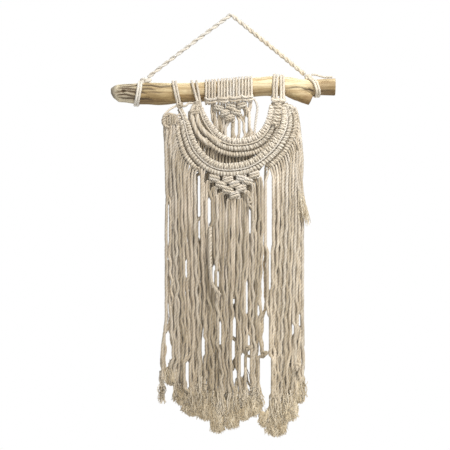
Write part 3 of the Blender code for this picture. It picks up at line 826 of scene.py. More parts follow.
# Upper edges from the left: x, z, depth, and how far the rows spread (1 is full width)
INNER_SWAG = (
    (-43.5, -133.5, -18.5, 0.6), (-35.6, -151.5, -22.5, 0.74), (-24.0, -167.3, INNER_DEPTH, 0.9),
    (-11.6, -178.4, INNER_DEPTH, 0.98), (4.4, -183.6, INNER_DEPTH, 1.0), (24.0, -182.4, INNER_DEPTH, 1.0),
    (37.5, -177.0, INNER_DEPTH, 1.0), (47.2, -166.5, INNER_DEPTH, 0.95), (53.2, -154.5, INNER_DEPTH, 0.85),
    (56.7, -139.5, -21.4, 0.7), (59.0, -131.0, -18.8, 0.6),
)
OUTER_SWAG = (
    (-74.8, -135.5, -12.0, 0.42), (-68.2, -147.0, -17.0, 0.58), (-61.0, -163.5, -26.0, 0.8),
    (-55.4, -180.8, -31.0, 0.9), (-46.8, -197.5, OUTER_DEPTH, 1.0), (-32.6, -212.5, OUTER_DEPTH, 1.0),
    (-15.0, -220.8, OUTER_DEPTH, 1.0), (7.5, -221.2, OUTER_DEPTH, 1.0), (28.5, -215.3, OUTER_DEPTH, 1.0),
    (46.5, -203.3, OUTER_DEPTH, 1.0), (61.5, -187.5, OUTER_DEPTH, 1.0), (73.5, -166.5, OUTER_DEPTH, 0.9),
    (76.0, -148.5, -25.0, 0.78), (74.6, -133.0, -18.8, 0.62),
)
RUN_DEPTH = 3.3  # behind the rows
RUN_SPACING = 3.8
HIDDEN_STEP = 2.2  # fewer rings for strands that are seen only through gaps


def along_swag(swag, distance, first, last, step=1.0):
    """Rows of x, y, z, outward x, outward z and spread along a swag, that far outside its upper edge."""
    given = np.array(swag, float)
    station = np.linspace(first, last, max(4, int((last - first) * 30)))
    x, z, y, wide = on_curve(given, station).T
    after = on_curve(given, np.minimum(station + 0.05, len(given) - 1.0))
    ahead = (after - on_curve(given, np.maximum(station - 0.05, 0.0)))[:, :2]
    ahead_x, ahead_z = (ahead / np.linalg.norm(ahead, axis=1)[:, None]).T
    out = distance * wide
    rows = np.column_stack([x + ahead_z * out, y, z - ahead_x * out, ahead_z, -ahead_x, wide])
    length = run_of(rows)[-1]
    return rows_at(rows, np.linspace(0, length, max(3, round(length / step))))


def hidden_runs(name, swag, spans):
    """The strands behind the rows; a span is its first and last station and its upper and lower edge."""
    lines = []
    for first, last, near, far in spans:
        for x, y, z, out_x, out_z, wide in along_swag(swag, (near + far) / 2, first, last, RUN_SPACING):
            reach = np.array((-1.0, -0.3, 0.4, 1.0)) * (far - near) / 2 * wide
            line = np.column_stack([x + out_x * reach, np.full(4, y + RUN_DEPTH), z + out_z * reach])
            lines.append(through(line, HIDDEN_STEP, 4))
    lay_cords(name, lines, in_painted_shade, radius=2.5)


# Painted shade: darker cotton for strands that lie only in the shade behind the rows and behind the bare cords
in_painted_shade = cotton("sunken_cotton", (0.50, 0.43, 0.325), (0.36, 0.30, 0.21), (0.48, 0.41, 0.32), TANNED)
INNER_SPANS = ((0.3, 2.2, 4.0, 24.0), (2.2, 8.6, 4.0, 26.0), (8.6, 10.0, 2.0, 18.0))
OUTER_SPANS = (
    (0.25, 1.5, 4.0, 17.0), (1.5, 5.0, 4.0, 27.0), (5.0, 8.7, 4.0, 18.0), (8.7, 12.6, 1.0, 27.0),
    (12.6, 13.0, 0.0, 18.0),
)
hidden_runs("inner_hidden_runs", INNER_SWAG, INNER_SPANS)
hidden_runs("outer_hidden_runs", OUTER_SWAG, OUTER_SPANS)


# ---- Rows of the swags ----------------------------------------------------------------------------------
# Each swag has a row of lark's heads, its plain holding cord below them, and then ridges of double half
# hitches, each strand going twice round the cord. At the left the inner holding cords lie bare.
BARE_CORDS = (
    (
        (-54.5, -15.5, -133.0), (-58.6, -17.5, -142.0), (-58.4, -20.0, -151.0), (-56.0, -22.6, -162.5),
        (-51.9, -23.6, -172.9), (-46.3, -24.0, -181.6), (-36.8, -23.6, -190.2), (-29.0, -22.6, -195.0),
    ),
    (
        (-48.5, -15.5, -133.0), (-51.2, -17.5, -142.0), (-50.8, -20.4, -151.0), (-47.7, -23.0, -162.5),
        (-40.8, -24.0, -172.3), (-32.3, -24.4, -179.8), (-22.0, -23.4, -186.5), (-15.0, -22.4, -189.0),
    ),
)
# How rows are tied: millimetres a turn, radius, how far the turns stand out in front and to the sides, and
# how much closer every second turn lies
HEAD_TURNS = (3.95, 2.1, 0.7, 0.7, 0.9)
RIDGE_TURNS = (4.8, 3.05, 1.15, 0.35, 0.0)
SIDE_TURNS = (4.8, 3.0, 1.15, 0.35, 0.0)
HITCHED_LAY, HOLDING_LAY = 16.0, 34.0
HOLDING_RADIUS = 3.7  # of both halves of a doubled cord together
SLANT = 0.5  # a turn is upright in front, and moves on behind the cord
POINTS_A_TURN = 16


def hitches(rows, half, pitch, strand, flat, full, pair):
    """The strand that goes round and round a holding cord."""
    count = int(run_of(rows)[-1] / pitch)
    turn = np.arange(0, count * WHOLE_TURN, WHOLE_TURN / POINTS_A_TURN)
    beat, beats = turn / WHOLE_TURN, np.arange(count + 2)
    uneven = np.interp(beat, beats, chance.normal(0, 0.045, count + 2))
    closer = pair * np.where(beats % 2, 0.5, -0.5)
    shift = np.interp(beat, beats, chance.normal(0, 0.2, count + 2) + closer)
    here = rows_at(rows, pitch * (beat - SLANT * np.sin(turn) / WHOLE_TURN) + shift)
    reach = np.maximum(half * here[:, 5] + full - strand, 0.6) * (1 + uneven)
    line = here[:, :3].copy()
    line[:, 0] += here[:, 3] * reach * np.sin(turn)
    line[:, 1] -= reach * flat * np.cos(turn)
    line[:, 2] += here[:, 4] * reach * np.sin(turn)
    return through(line, pieces=2)


def row_of_knots(name, node, swag, near, far, first, last, turns, material, *extra):
    """One row of a swag: the holding cord inside it and the strand that is hitched round it."""
    rows = along_swag(swag, (near + far) / 2, first, last)
    core = sized(rows[:, :3], 1.7 * np.clip(rows[:, 5] * 1.1, 0.6, 1.0))
    lines = [through(core, pieces=1), hitches(rows, (far - near) / 2, *turns), *extra]
    lay_cords(name, lines, material, node, radius=turns[1], lay=HITCHED_LAY)


def plain_cord(swag, first, last):
    """The smooth holding cord that runs along a swag below its lark's heads."""
    return sized(along_swag(swag, 9.6, first, last)[:, :3] - (0.0, 0.6, 0.0), 1.5)


bare = [through(line) for line in BARE_CORDS]
lay_cords("inner_bare_cords", bare, taut, radius=HOLDING_RADIUS, lay=HOLDING_LAY)
inner_cord, outer_cord = plain_cord(INNER_SWAG, 0.1, 9.9), plain_cord(OUTER_SWAG, 0.0, 12.9)
ROWS = (
    # piece, node, swag, upper and lower edge, first and last station, how it is tied and of what
    ("inner_larks_heads", "inner_heads", INNER_SWAG, -0.6, 8.6, 0.05, 10.0, HEAD_TURNS, undyed, inner_cord),
    ("inner_upper_ridge", "inner_ridge_upper", INNER_SWAG, 11.6, 19.2, 2.0, 9.9, RIDGE_TURNS, shadier),
    ("inner_lower_ridge", "inner_ridge_lower", INNER_SWAG, 20.4, 28.4, 2.05, 8.8, RIDGE_TURNS, shadier),
    ("outer_larks_heads", "outer_heads", OUTER_SWAG, -0.6, 8.6, 0.02, 13.0, HEAD_TURNS, undyed, outer_cord),
    ("outer_ridge_hitches", "outer_ridge", OUTER_SWAG, 11.6, 19.4, 1.3, 13.0, RIDGE_TURNS, shadier),
)
for row in ROWS:
    row_of_knots(*row)


# ---- Right ends of the swags ----------------------------------------------------------------------------
# Three picots, small upright loops, stand at the right of the outer swag, and one row of hitches closes
# the gap between the two swags.
PICOT = ((-2.6, 0.0, -6.0), (-2.8, -1.0, -1.5), (0.0, -1.6, 1.6), (2.8, -1.0, -1.5), (2.6, 0.0, -6.0))
BETWEEN_SWAGS = (
    (70.4, -127.5, -18.5, 1.0), (69.8, -140.0, -21.5, 1.0), (68.0, -152.0, -24.0, 1.0),
    (62.6, -169.6, -26.6, 0.8),
)
picots = [
    through([(x + u, y + v, z + t) for u, v, t in PICOT], 1.2)
    for x, y, z in ((88.0, -23.0, -136.5), (94.6, -25.0, -139.5), (81.5, -21.0, -134.5))
]
lay_cords("outer_swag_picots", picots, undyed, section=three_ply, radius=1.9)
closing = hitches(along_swag(BETWEEN_SWAGS, 0.0, 0.0, 3.0), 6.2, 4.9, 2.4, 0.7, 0.4, 0.6)
lay_cords("between_swags", [closing], shadier, radius=2.6, lay=HITCHED_LAY)


# ---- Side ridges of the outer swag ----------------------------------------------------------------------
# A short second ridge of double half hitches lies below the full one at each side of the outer swag, on
# a holding cord of its own.
for side, first, last in (("left", 1.6, 4.9), ("right", 8.7, 12.8)):
    names = f"outer_{side}_side_ridge", f"outer_side_ridge_{side}"
    row_of_knots(*names, OUTER_SWAG, 20.6, 28.6, first, last, SIDE_TURNS, shadier)


# ---- Large triangle of square knots ---------------------------------------------------------------------
# Below the middle of the outer ridge sixteen strands are tied in alternating square knots, four, three,
# two and one, with dark openings between them.
OUTER_KNOTS = (
    (-25.5, -243.8, 1), (-4.6, -245.6, -1), (15.4, -243.4, 1), (34.6, -238.0, -1), (-15.0, -252.8, 1),
    (5.4, -252.0, -1), (24.8, -248.0, 1), (-5.2, -261.4, 1), (14.8, -258.6, -1), (5.6, -268.2, -1),
)
square_knots("outer_square_knots", "outer_knots", OUTER_KNOTS, OUTER_DEPTH, 17.4, 8.8, 0.4, undyed)


# ---- Fringes --------------------------------------------------------------------------------------------
# Every strand that comes out of the rows and the square knots hangs down uncut, one against the next in
# two or three layers, and leaves a few narrow slits through the whole fringe.
SLITS = (
    # left, right, top, bottom
    (30.0, 39.2, -124, -166), (-39.0, -32.1, -129, -150), (13.5, 18.6, -144, -178), (21.8, 24.9, -152, -172),
    (6.0, 9.9, -158, -176), (-6.0, -0.6, -160, -178), (54.0, 60.9, -230, -345), (43.5, 48.9, -234, -243),
    (-54.0, -50.1, -237, -242), (100.0, 101.9, -238, -249), (-49.5, -46.2, -242, -300),
    (-34.5, -30.6, -278, -309),
    (-95.0, -93.1, -285, -334), (27.0, 29.4, -291, -324), (-48.5, -46.6, -308, -333), (57.0, 59.4, -360, -406),
    (-68.0, -66.1, -370, -386), (22.5, 24.9, -400, -444), (46.5, 48.9, -404, -441), (3.0, 5.4, -416, -429),
    (40.0, 41.9, -438, -448), (101.5, 103.4, -447, -465), (49.5, 56.4, -454, -501), (3.0, 6.9, -458, -480),
    (-17.0, -15.1, -462, -492), (91.5, 93.9, -464, -476), (-97.5, -92.1, -477, -492), (25.5, 27.9, -480, -512),
    (-43.5, -39.6, -484, -508), (1.5, 5.4, -490, -512), (-96.0, -89.1, -495, -513), (15.0, 20.4, -510, -538),
    (40.5, 45.9, -510, -540), (24.0, 27.9, -514, -554), (43.5, 59.4, -514, -592), (-67.5, -63.6, -519, -554),
    (3.0, 8.4, -532, -548), (-12.0, -5.1, -603, -609), (-39.0, -30.5, -150, -160), (-39.0, -27.5, -160, -171),
    (-27.5, -23.8, -375, -398), (-20.5, -18.6, -386, -402),
)
# Height and x of the fringe's outer edges
LEFT_EDGE = (
    (-126, -93.5), (-156, -103.0), (-201, -100.0), (-276, -98.5), (-321, -99.5), (-456, -99.5), (-486, -104.0),
    (-516, -106.5), (-600, -109.0),
)
RIGHT_EDGE = (
    (-126, 98.0), (-156, 102.0), (-171, 105.0), (-216, 109.0), (-276, 107.0), (-306, 109.5), (-456, 109.5),
    (-516, 111.0), (-561, 110.0), (-640, 108.0),
)
TUFTS = (
    # x of the middle, half width, cut end, length over which strands are combed open
    (-104.0, 6.5, -588.0, 46.0), (-91.5, 11.0, -560.0, 32.0), (-75.0, 10.5, -582.0, 36.0),
    (-59.0, 13.0, -600.0, 42.0), (-36.0, 15.0, -607.0, 46.0), (-19.0, 13.0, -625.0, 52.0),
    (-1.0, 13.0, -620.0, 52.0), (16.0, 14.0, -606.0, 46.0), (40.0, 10.0, -588.0, 36.0),
    (47.0, 10.0, -620.0, 44.0), (68.0, 17.0, -630.0, 52.0), (86.0, 13.0, -608.0, 46.0),
    (101.0, 9.0, -582.0, 40.0),
)
LAYERS = {
    # where its strands end up from left to right, and how much shorter than their tuft they are cut
    "outer": (-84.0, 106.5, 0.0),
    "cap": (-107.0, -88.0, 0.0),
    "inner": (-96.0, 98.0, 9.0),
    "panel": (-52.0, 56.0, 26.0),
}
KEEPS_PLACE = 0.7  # share of its own place that a strand's foot keeps; the rest is spread evenly
FAR_LEFT, FAR_LEFT_SPACING = -106.5, 2.4  # where the first strands of the cap end up
UNEVEN_CUT = 4.0  # how much strands of one tuft differ in length
LEVEL = 4.0  # millimetres of height between two points of a strand
CLEAR = 4.9  # strands keep their middles this far apart
STRAND = 2.4
FRINGE_LAY = 17.0  # the strands have lost some of their twist
CLOTH_MIDDLE = -25.5  # depth towards which the layers close up
FRONT_LIMIT, BACK_LIMIT = -39.0, -10.5
SETTLING_TURNS = 110
PUSH_APART = 0.32  # share of what they lack that two strands move apart in one turn of the settling
PULL_ACROSS, PULL_DEEP = 0.03, 0.05  # share of the way back to its own course in one turn
strands = []


def hang(layer, start, out_x, out_z, depth, leave, drop):
    """A strand of a layer that leaves a knot outwards and then hangs."""
    x, y, z = start
    top = [(x - out_x * 3.0, y, z - out_z * 3.0), (x + out_x * 2.5, y - 0.4, z + out_z * 2.5)]
    hung = {"x": x + out_x * leave, "y": y, "z": z + out_z * leave - drop}
    strands.append({"layer": layer, "top": top, "depth": depth, **hung})


# From the outer ridge and the side ridges
SPACING = 4.6  # millimetres of ridge for each strand
for first, last, distance in (
    (0.75, 1.9, 19.0), (1.9, 4.9, 27.5), (4.9, 5.25, 19.0), (8.55, 12.4, 27.5), (12.4, 12.8, 19.0),
):
    for index, row in enumerate(along_swag(OUTER_SWAG, distance, first, last, SPACING)):
        x, y, z, out_x, out_z = row[:5]
        depth = y + (-1.6 if index % 2 else 1.9)
        hang("outer", (x, y + 0.6, z), out_x, out_z, depth, 5.0 + chance.uniform(0, 2.5), 8.0)
# From the sides and the tip of the large triangle
for x, z, count, way in (
    (-32.0, -248.0, 2, -1), (-21.5, -257.0, 3, -1), (-11.5, -265.5, 3, -1), (2.0, -274.0, 3, -1),
    (9.5, -273.5, 3, 1), (20.5, -263.0, 3, 1), (31.0, -252.0, 2, 1), (41.0, -242.5, 2, 1),
):
    for index in range(count):
        start = (x + way * 3.4 * index, OUTER_DEPTH + 0.8, z - 1.5 * index)
        hang("outer", start, 0.35 * way, -0.94, OUTER_DEPTH - 0.8 + index, 4.0, 5.0)
# From the cap at the far left
for index in range(5):
    start = (-99.5 + 3.3 * index, -24.5, -155.0)
    hang("cap", start, -0.1 + 0.05 * index, -1.0, -26.5 - (index % 2) * 2.6, 4.0, 8.0)
# From the inner ridges
for first, last, distance in ((0.9, 1.45, 18.5), (1.45, 7.6, 27.0), (7.6, 9.2, 18.5)):
    for index, row in enumerate(along_swag(INNER_SWAG, distance, first, last, SPACING + 0.1)):
        x, y, z, out_x, out_z = row[:5]
        depth = -21.0 + (-1.5 if index % 2 else 2.0)
        hang("inner", (x, y + 4.0, z), out_x, out_z, depth, 4.0 + chance.uniform(0, 2.5), 8.0)
# From the sides and the tip of the centre panel, and past the back of its knots
for x, z, way in (
    (-25.6, -133.5, -1), (-23.0, -142.5, -1), (-15.5, -150.0, -1), (-3.0, -157.5, -1),
    (1.6, -157.5, 1), (13.5, -148.5, 1), (23.0, -139.0, 1), (27.6, -130.5, 1),
):
    for index in range(2):
        start = (x + way * 2.4 * index, PANEL_DEPTH + 1.0, z - index)
        hang("panel", start, 0.2 * way, -0.98, PANEL_DEPTH - 2.0 + 3.0 * index, 3.0, 4.0)
for index, x in enumerate(np.arange(-29.0, 30.0, 4.7)):
    hang("panel", (x, PANEL_DEPTH + 4.0, -134.0 - 1.5 * (index % 2)), 0.0, -1.0, PANEL_DEPTH + 2.0, 3.0, 4.0)

# Where each strand ends, and in which tuft
tuft_x, tuft_half = np.array(TUFTS).T[:2]
for layer, (left, right, short) in LAYERS.items():
    members = [strand for strand in strands if strand["layer"] == layer]
    members.sort(key=lambda strand: strand["x"])
    for index, strand in enumerate(members):
        even = left + (right - left) * (index + 0.5) / len(members)
        foot_x = KEEPS_PLACE * strand["x"] + (1 - KEEPS_PLACE) * even + chance.normal(0, 1.6)
        if layer == "cap" and index < 3:
            foot_x = FAR_LEFT + FAR_LEFT_SPACING * index
        tuft = TUFTS[np.argmin(np.abs(tuft_x - foot_x) / tuft_half)]
        cut = tuft[2] + short + abs(chance.normal(0, UNEVEN_CUT))
        opened = tuft[3] * chance.uniform(0.75, 1.15)
        strand.update(foot_x=foot_x, tuft=tuft, cut=cut, open=opened)

# The strands settle: each keeps near its own way down, clear of the others, and out of the slits. A row of
# an array is a strand and a column is a level.
level = np.arange(-128.0, -636.0, -LEVEL)[None, :]
count = len(strands)


def of_strands(key):
    """One number of each strand, as a column."""
    return np.array([[strand[key]] for strand in strands])


top_x, top_y, top_z, end_x, depth = (of_strands(key) for key in ("x", "y", "z", "foot_x", "depth"))
end_z = of_strands("cut") + of_strands("open")
hangs = (level <= top_z) & (level >= end_z - LEVEL)
share = np.clip((top_z - level) / (top_z - end_z), 0, 1)
ease = share * share * (3 - 2 * share)
target_x = top_x + (end_x - top_x) * ease
for length, size in ((260.0, 2.4), (120.0, 1.6), (55.0, 0.9), (26.0, 0.5)):
    start = chance.uniform(0, ROUND, (count, 1))
    wave = length * chance.uniform(0.8, 1.25, (count, 1))
    grows = 0.25 + 0.75 * share + 1.3 * np.clip(share - 0.75, 0, 1)
    target_x += size * chance.normal(0, 0.8, (count, 1)) * grows * np.sin(level * ROUND / wave + start)
near = np.clip(share * 5, 0, 1)
settled = CLOTH_MIDDLE + (depth - CLOTH_MIDDLE) * 0.5
target_y = top_y * (1 - near) + near * (depth * (1 - ease) + settled * ease)
sway = chance.normal(0, 0.9, (count, 1))
target_y += sway * share * np.sin(level / 40 + chance.uniform(0, ROUND, (count, 1)))
place_x, place_y = target_x.copy(), target_y.copy()
usual_x = (target_x * hangs).sum(axis=1) / hangs.sum(axis=1)
left_edge, right_edge = (
    np.interp(-level, [-z for z, x in edge], [x for z, x in edge]) for edge in (LEFT_EDGE, RIGHT_EDGE)
)


def keep_open(values):
    """Keeps strands out of the slits, each on the side on which it would hang, and within the edges."""
    for left, right, top, bottom in SLITS:
        low, high = left - STRAND, right + STRAND
        goes_left = (usual_x < (left + right) / 2)[:, None]
        beside = (level <= top + LEVEL * 0.6) & (level >= bottom - LEVEL * 0.6)
        inside = beside & (values > low) & (values < high)
        values[inside & goes_left] = low
        values[inside & ~goes_left] = high
    return np.clip(values, left_edge + STRAND, right_edge - STRAND)


together = hangs[:, None, :] & hangs[None, :, :]
together[np.arange(count), np.arange(count), :] = False
held = hangs.copy()
held[:, 1:] &= hangs[:, :-1]
for turn in range(SETTLING_TURNS):
    gap_x = place_x[:, None, :] - place_x[None, :, :]
    gap_y = place_y[:, None, :] - place_y[None, :, :]
    apart = np.sqrt(gap_x * gap_x + gap_y * gap_y) + 1e-6
    push = np.clip(CLEAR - apart, 0, None) * PUSH_APART * together
    place_x += (push * gap_x / apart).sum(axis=1)
    place_y += (push * gap_y / apart).sum(axis=1) * 0.8
    for values, target, pull in ((place_x, target_x, PULL_ACROSS), (place_y, target_y, PULL_DEEP)):
        values += pull * (target - values)
        smooth = values.copy()
        smooth[:, 1:-1] = 0.25 * values[:, :-2] + 0.5 * values[:, 1:-1] + 0.25 * values[:, 2:]
        values[:] = np.where(held, smooth, target)
    place_x = keep_open(place_x)
    place_y = np.clip(place_y, FRONT_LIMIT, BACK_LIMIT)

# Yarn that was wound on a ball never hangs quite straight: waves of these lengths and sizes stay in it
for length, size in ((58.0, 0.55), (34.0, 0.6), (21.0, 0.4)):
    start = chance.uniform(0, ROUND, (count, 1))
    wave = length * chance.uniform(0.75, 1.3, (count, 1))
    curl = size * np.clip(share * 6, 0, 1) * (0.7 + 0.9 * share) * np.sin(level * ROUND / wave + start)
    place_x += chance.uniform(0.3, 1.3, (count, 1)) * curl
    place_y += 0.5 * chance.uniform(-1.3, 1.3, (count, 1)) * curl
place_x = keep_open(place_x)
for index, strand in enumerate(strands):
    rows = np.where(hangs[index] & (level[0] < strand["z"] - 2.0))[0]
    hung = np.column_stack([place_x[index, rows], place_y[index, rows], level[0, rows]])
    strand["line"] = np.vstack([strand["top"], hung])

worn = cotton(
    "fringe_cotton", (0.79, 0.71, 0.60), (0.42, 0.36, 0.265), (0.74, 0.67, 0.56), (0.90, 0.85, 0.74), 0.55
)
IN_SHADE = (0.50, 0.42, 0.30)  # the grooves of strands that hang in the swags' shade
# Painted shade: the inner fringe's cotton is dark where it hangs in the swags' shade and lighter a little
# further down
shaded = cotton(
    "inner_fringe_cotton", (0.72, 0.635, 0.50), (0.50, 0.425, 0.31), IN_SHADE, (1.17, 1.165, 1.14), 0.4,
    turns=(-0.225, -0.265, 1.0),
)
# Painted shadow: dark brown cotton for strands that hang only in shade, so that the gaps in front of them read
# dark
deep = cotton("deep_cotton", (0.20, 0.155, 0.10), (0.14, 0.105, 0.065), IN_SHADE, WHITE)


def lay_strands(name, lines, material, node=None, radius=STRAND, **looks):
    """A piece of the fringe, made of cords."""
    lay_cords(name, lines, material, node, radius=radius, slot="cotton_fringe", **looks)


def lay_fringe(name, node, members, step, material=worn, slim=0.74, slim_to=10.0):
    """The strands of one part of the fringe, slim where they leave their knots and a little uneven."""
    lines = []
    for strand in members:
        line = through(strand["line"], step, pieces=3)
        beats = np.arange(0, len(line) + 40, 20)
        swell = np.interp(np.arange(len(line)), beats, chance.normal(1.0, 0.035, len(beats)))
        slimmed = np.interp(run_of(line), (slim_to, 2.0 * slim_to + 4.0), (slim, 1.0))
        lines.append(sized(line, STRAND * swell * slimmed))
    lay_strands(name, lines, material, node, lay=FRINGE_LAY)


FRONT_STEP, INNER_STEP, PANEL_STEP = 1.75, 2.6, 2.8  # the layers behind need fewer rings
front = [strand for strand in strands if strand["layer"] in ("outer", "cap")]
for part, left, right in (("left", -200, -40), ("centre", -40, 47), ("right", 47, 200)):
    members = [strand for strand in front if left <= strand["foot_x"] < right]
    lay_fringe("fringe_outer_" + part, "outer_fringe_" + part, members, FRONT_STEP)
inner = [strand for strand in strands if strand["layer"] == "inner"]
lay_fringe("fringe_inner", "inner_fringe", inner, INNER_STEP, shaded, 0.57, 26.0)
# Behind the inner fringe the second strand of each pair hangs in its shade, which is painted into its dark
# brown cotton
behind = []
for x in np.arange(-60.0, 42.0, 4.3):
    y = -17.5 + chance.normal(0, 0.6)
    top = -188.0 if x > -40 else -186.0 + 1.7 * (-40 - x)
    line = ((x, y, top), (x + chance.normal(0, 0.8), y, -208.0), (x + chance.normal(0, 1.2), y, -234.0))
    behind.append(through(line, HIDDEN_STEP))
lay_strands("inner_strands_behind", behind, deep, radius=2.1, lay=FRINGE_LAY)
under_panel = [strand for strand in strands if strand["layer"] == "panel"]
lay_fringe("fringe_panel", "panel_fringe", under_panel, PANEL_STEP)


# ---- Combed-out ends ------------------------------------------------------------------------------------
# Below its last hand's breadth each strand is combed open into its loose yarns. Neighbouring strands felt
# together into soft, blunt tufts that are cut off at different heights.
WADS = (
    # x of the middle, half width, cut end, height
    (-89.0, 9.5, -554.0, 26.0), (-76.0, 9.0, -583.0, 30.0), (-59.0, 13.0, -600.0, 36.0),
    (-37.0, 12.0, -607.0, 36.0), (-20.0, 10.5, -626.0, 40.0), (0.0, 11.0, -620.0, 38.0),
    (18.0, 12.0, -607.0, 34.0), (35.0, 8.5, -601.0, 34.0), (49.0, 7.0, -617.0, 21.0),
    (68.0, 14.5, -631.0, 46.0), (88.0, 11.0, -608.0, 38.0), (102.0, 8.0, -581.0, 34.0),
)
YARN = 0.72
FELT_MIDDLE, FELT_HALF = -25.0, 5.0  # depth of the felt's middle, and from there to its front
WISPS_PER_MM = 7.5
YARNS_MIDDLE, YARNS_SIDES, YARNS_BACK = 15, 12, 6  # that show of one strand's end
IN_FRONT = 0.72  # share of the wisps that lie on the front of the felt
CUT_SHORT = 0.16  # share of the yarns that are shorter than their tuft
ROUNDED = 9.0  # how much higher the cut is at a tuft's sides


def comb_out(strand, yarns):
    """The loose yarns of one strand: they fan out towards their tuft and end at its cut."""
    middle, half = strand["tuft"][:2]
    x, y, z = strand["line"][-1]
    lock_wave, lock_length = chance.uniform(0.8, 3.0), chance.uniform(18.0, 34.0)
    lock_start, lock_lean = chance.uniform(0, ROUND), chance.normal(0, 0.4) * half
    lines = []
    for each in range(yarns):
        turn, far = chance.uniform(0, ROUND), 1.5 * chance.uniform(0.1, 1.0) ** 0.5
        from_x, from_y = x + far * math.cos(turn), y + far * math.sin(turn)
        fan = np.clip(chance.normal(0, 0.45), -0.8, 0.8) + 0.3 * (middle - x) / half
        to_x = np.clip(x + fan * half * 0.95, middle - half * 1.02, middle + half * 1.02)
        to_y = y + chance.normal(0, 2.6)
        end = strand["cut"] + ROUNDED * ((to_x - middle) / half) ** 2 + abs(chance.normal(0, 0.9))
        end += chance.uniform(2, 14) if chance.uniform() < CUT_SHORT else 0.0
        top = z + chance.uniform(3.0, 10.0)
        part = np.linspace(0, 1, max(5, round((top - end) / 3.2)))
        wave = chance.uniform(0.3, 1.5) * part
        length, start = chance.uniform(9.0, 22.0), chance.uniform(0, ROUND)
        height = top + (end - top) * part
        angle = height * ROUND / length
        row_x = from_x + (to_x - from_x) * part**1.25 + wave * np.sin(angle + start)
        row_x += lock_wave * part * np.sin(height * ROUND / lock_length + lock_start) + lock_lean * part**1.4
        row_x = np.where(part > 0.3, np.clip(row_x, middle - half * 1.04, middle + half * 1.04), row_x)
        row_y = from_y + (to_y - from_y) * part**1.25 + wave * 0.7 * np.cos(angle + start * 2)
        size = YARN * chance.uniform(0.7, 1.3) * np.interp(part, (0.0, 0.85, 1.0), (1.0, 0.9, 0.55))
        lines.append(np.column_stack([row_x, row_y, height, size]))
    return lines


def loose_plies(strand, plies):
    """Thicker plies that have kept together and wind down over the tuft in front."""
    x, y, z = strand["line"][-1]
    lines = []
    for ply in range(plies):
        length = strand["open"] * chance.uniform(0.45, 0.85)
        part = np.linspace(0, 1, max(6, round(length / 2.2)))
        lean = chance.normal(0, 0.35) * strand["tuft"][1]
        start, wave = chance.uniform(0, ROUND), chance.uniform(1.8, 4.6)
        height = z + 8.0 - (length + 8.0) * part
        row_x = x + (ply - (plies - 1) / 2) * 1.6 + lean * part**1.4
        row_x += wave * part * np.sin(height * ROUND / chance.uniform(18.0, 34.0) + start)
        row_y = y * (1 - part) + part * min(y - 3.0, FELT_MIDDLE - 7.5) + 0.8 * np.sin(part * 5 + start)
        size = 1.45 * np.interp(part, (0.0, 0.5, 1.0), (1.0, 0.8, 0.35))
        lines.append(np.column_stack([row_x, row_y, height, size]))
    return lines


def wisps(middle, half, cut, height):
    """Loose yarns that lie on a felted wad and stick out at its edges."""
    lines = []
    for each in range(round(WISPS_PER_MM * (half + 3.0))):
        part = np.linspace(0, 1, 9)
        x = middle + chance.uniform(-1.0, 1.0) * half
        side = (x - middle) / half
        top = cut + height * chance.uniform(0.35, 1.05)
        foot = cut + abs(chance.normal(0, 2.6)) + ROUNDED * side * side - 1.0
        z = top + (foot - top) * part
        curl, length, start = chance.uniform(0.4, 2.2), chance.uniform(12.0, 30.0), chance.uniform(0, ROUND)
        curl *= np.sin(z * ROUND / length + start)
        face = -1 if chance.uniform() < IN_FRONT else 1
        stand = (6.3 + 1.4 * chance.uniform()) * math.sqrt(1.02 - 0.75 * side * side) * (1 - 0.35 * part**3)
        row_x = x + chance.normal(0, 3.0) * (part - 0.5) + curl + side * 1.5 * part
        size = YARN * chance.uniform(0.8, 1.35) * np.interp(part, (0, 0.15, 0.85, 1), (0.5, 1.0, 0.9, 0.5))
        lines.append(np.column_stack([row_x, FELT_MIDDLE + face * stand + 0.5 * curl, z, size]))
    return lines


combed = cotton(
    "combed_cotton", (0.90, 0.82, 0.675), (0.62, 0.535, 0.39), (0.6, 0.52, 0.4), (0.92, 0.87, 0.76), 0.8
)
front_yarns, back_yarns, plies = [], [], []
for strand in strands:
    if strand["layer"] in ("outer", "cap"):
        front_yarns += comb_out(strand, YARNS_MIDDLE if -30 < strand["foot_x"] < 30 else YARNS_SIDES)
        plies += loose_plies(strand, int(chance.integers(1, 4)))
    else:
        back_yarns += comb_out(strand, YARNS_BACK)

# Flat, lumpy bodies of felt, blunt where they are cut and thin where the strands come in
whole = bmesh.new()
tones = []
for middle, half, cut, height in WADS:
    made = bmesh.ops.create_icosphere(whole, subdivisions=4, radius=1.0)["verts"]
    tones += [chance.uniform(0.2, 0.8)] * len(made)
    for vert in made:
        u, v, w = vert.co
        rim = math.sqrt(max(1e-9, 1 - w * w))
        blunt = (max(1e-9, 1 - abs(w) ** 5) ** 0.2) / rim if w < 0 else 1.0 / max(rim, 0.3) ** 0.35
        low = (1 - w) / 2
        x = middle + u * blunt * half
        y = FELT_MIDDLE + v * blunt * FELT_HALF
        z = cut + 4.0 + (w + 1) / 2 * height + 10.0 * low * u * u
        x += 3.2 * cloud(x * 0.07, 3.1, z * 0.06) + 1.3 * cloud(x * 0.25, y * 0.2, z * 0.2)
        y += 4.5 * cloud(x * 0.16, 8.7, z * 0.07) + 1.6 * cloud(x * 0.55, y * 0.3, z * 0.12)
        z += low * (5.5 * cloud(x * 0.11, 5.3, 0.7) + 4.0 * cloud(x * 0.5, 1.3, y * 0.2))
        vert.co = (x * MM, y * MM, z * MM)
mesh = bpy.data.meshes.new("felted_wads")
whole.to_mesh(mesh)
whole.free()
mark(mesh, shade=np.array(tones), crown=np.ones(len(tones)), fibre=per_vertex(mesh, "co") * (1.0, 1.0, 0.12))
finish("felted_wads", mesh, combed)

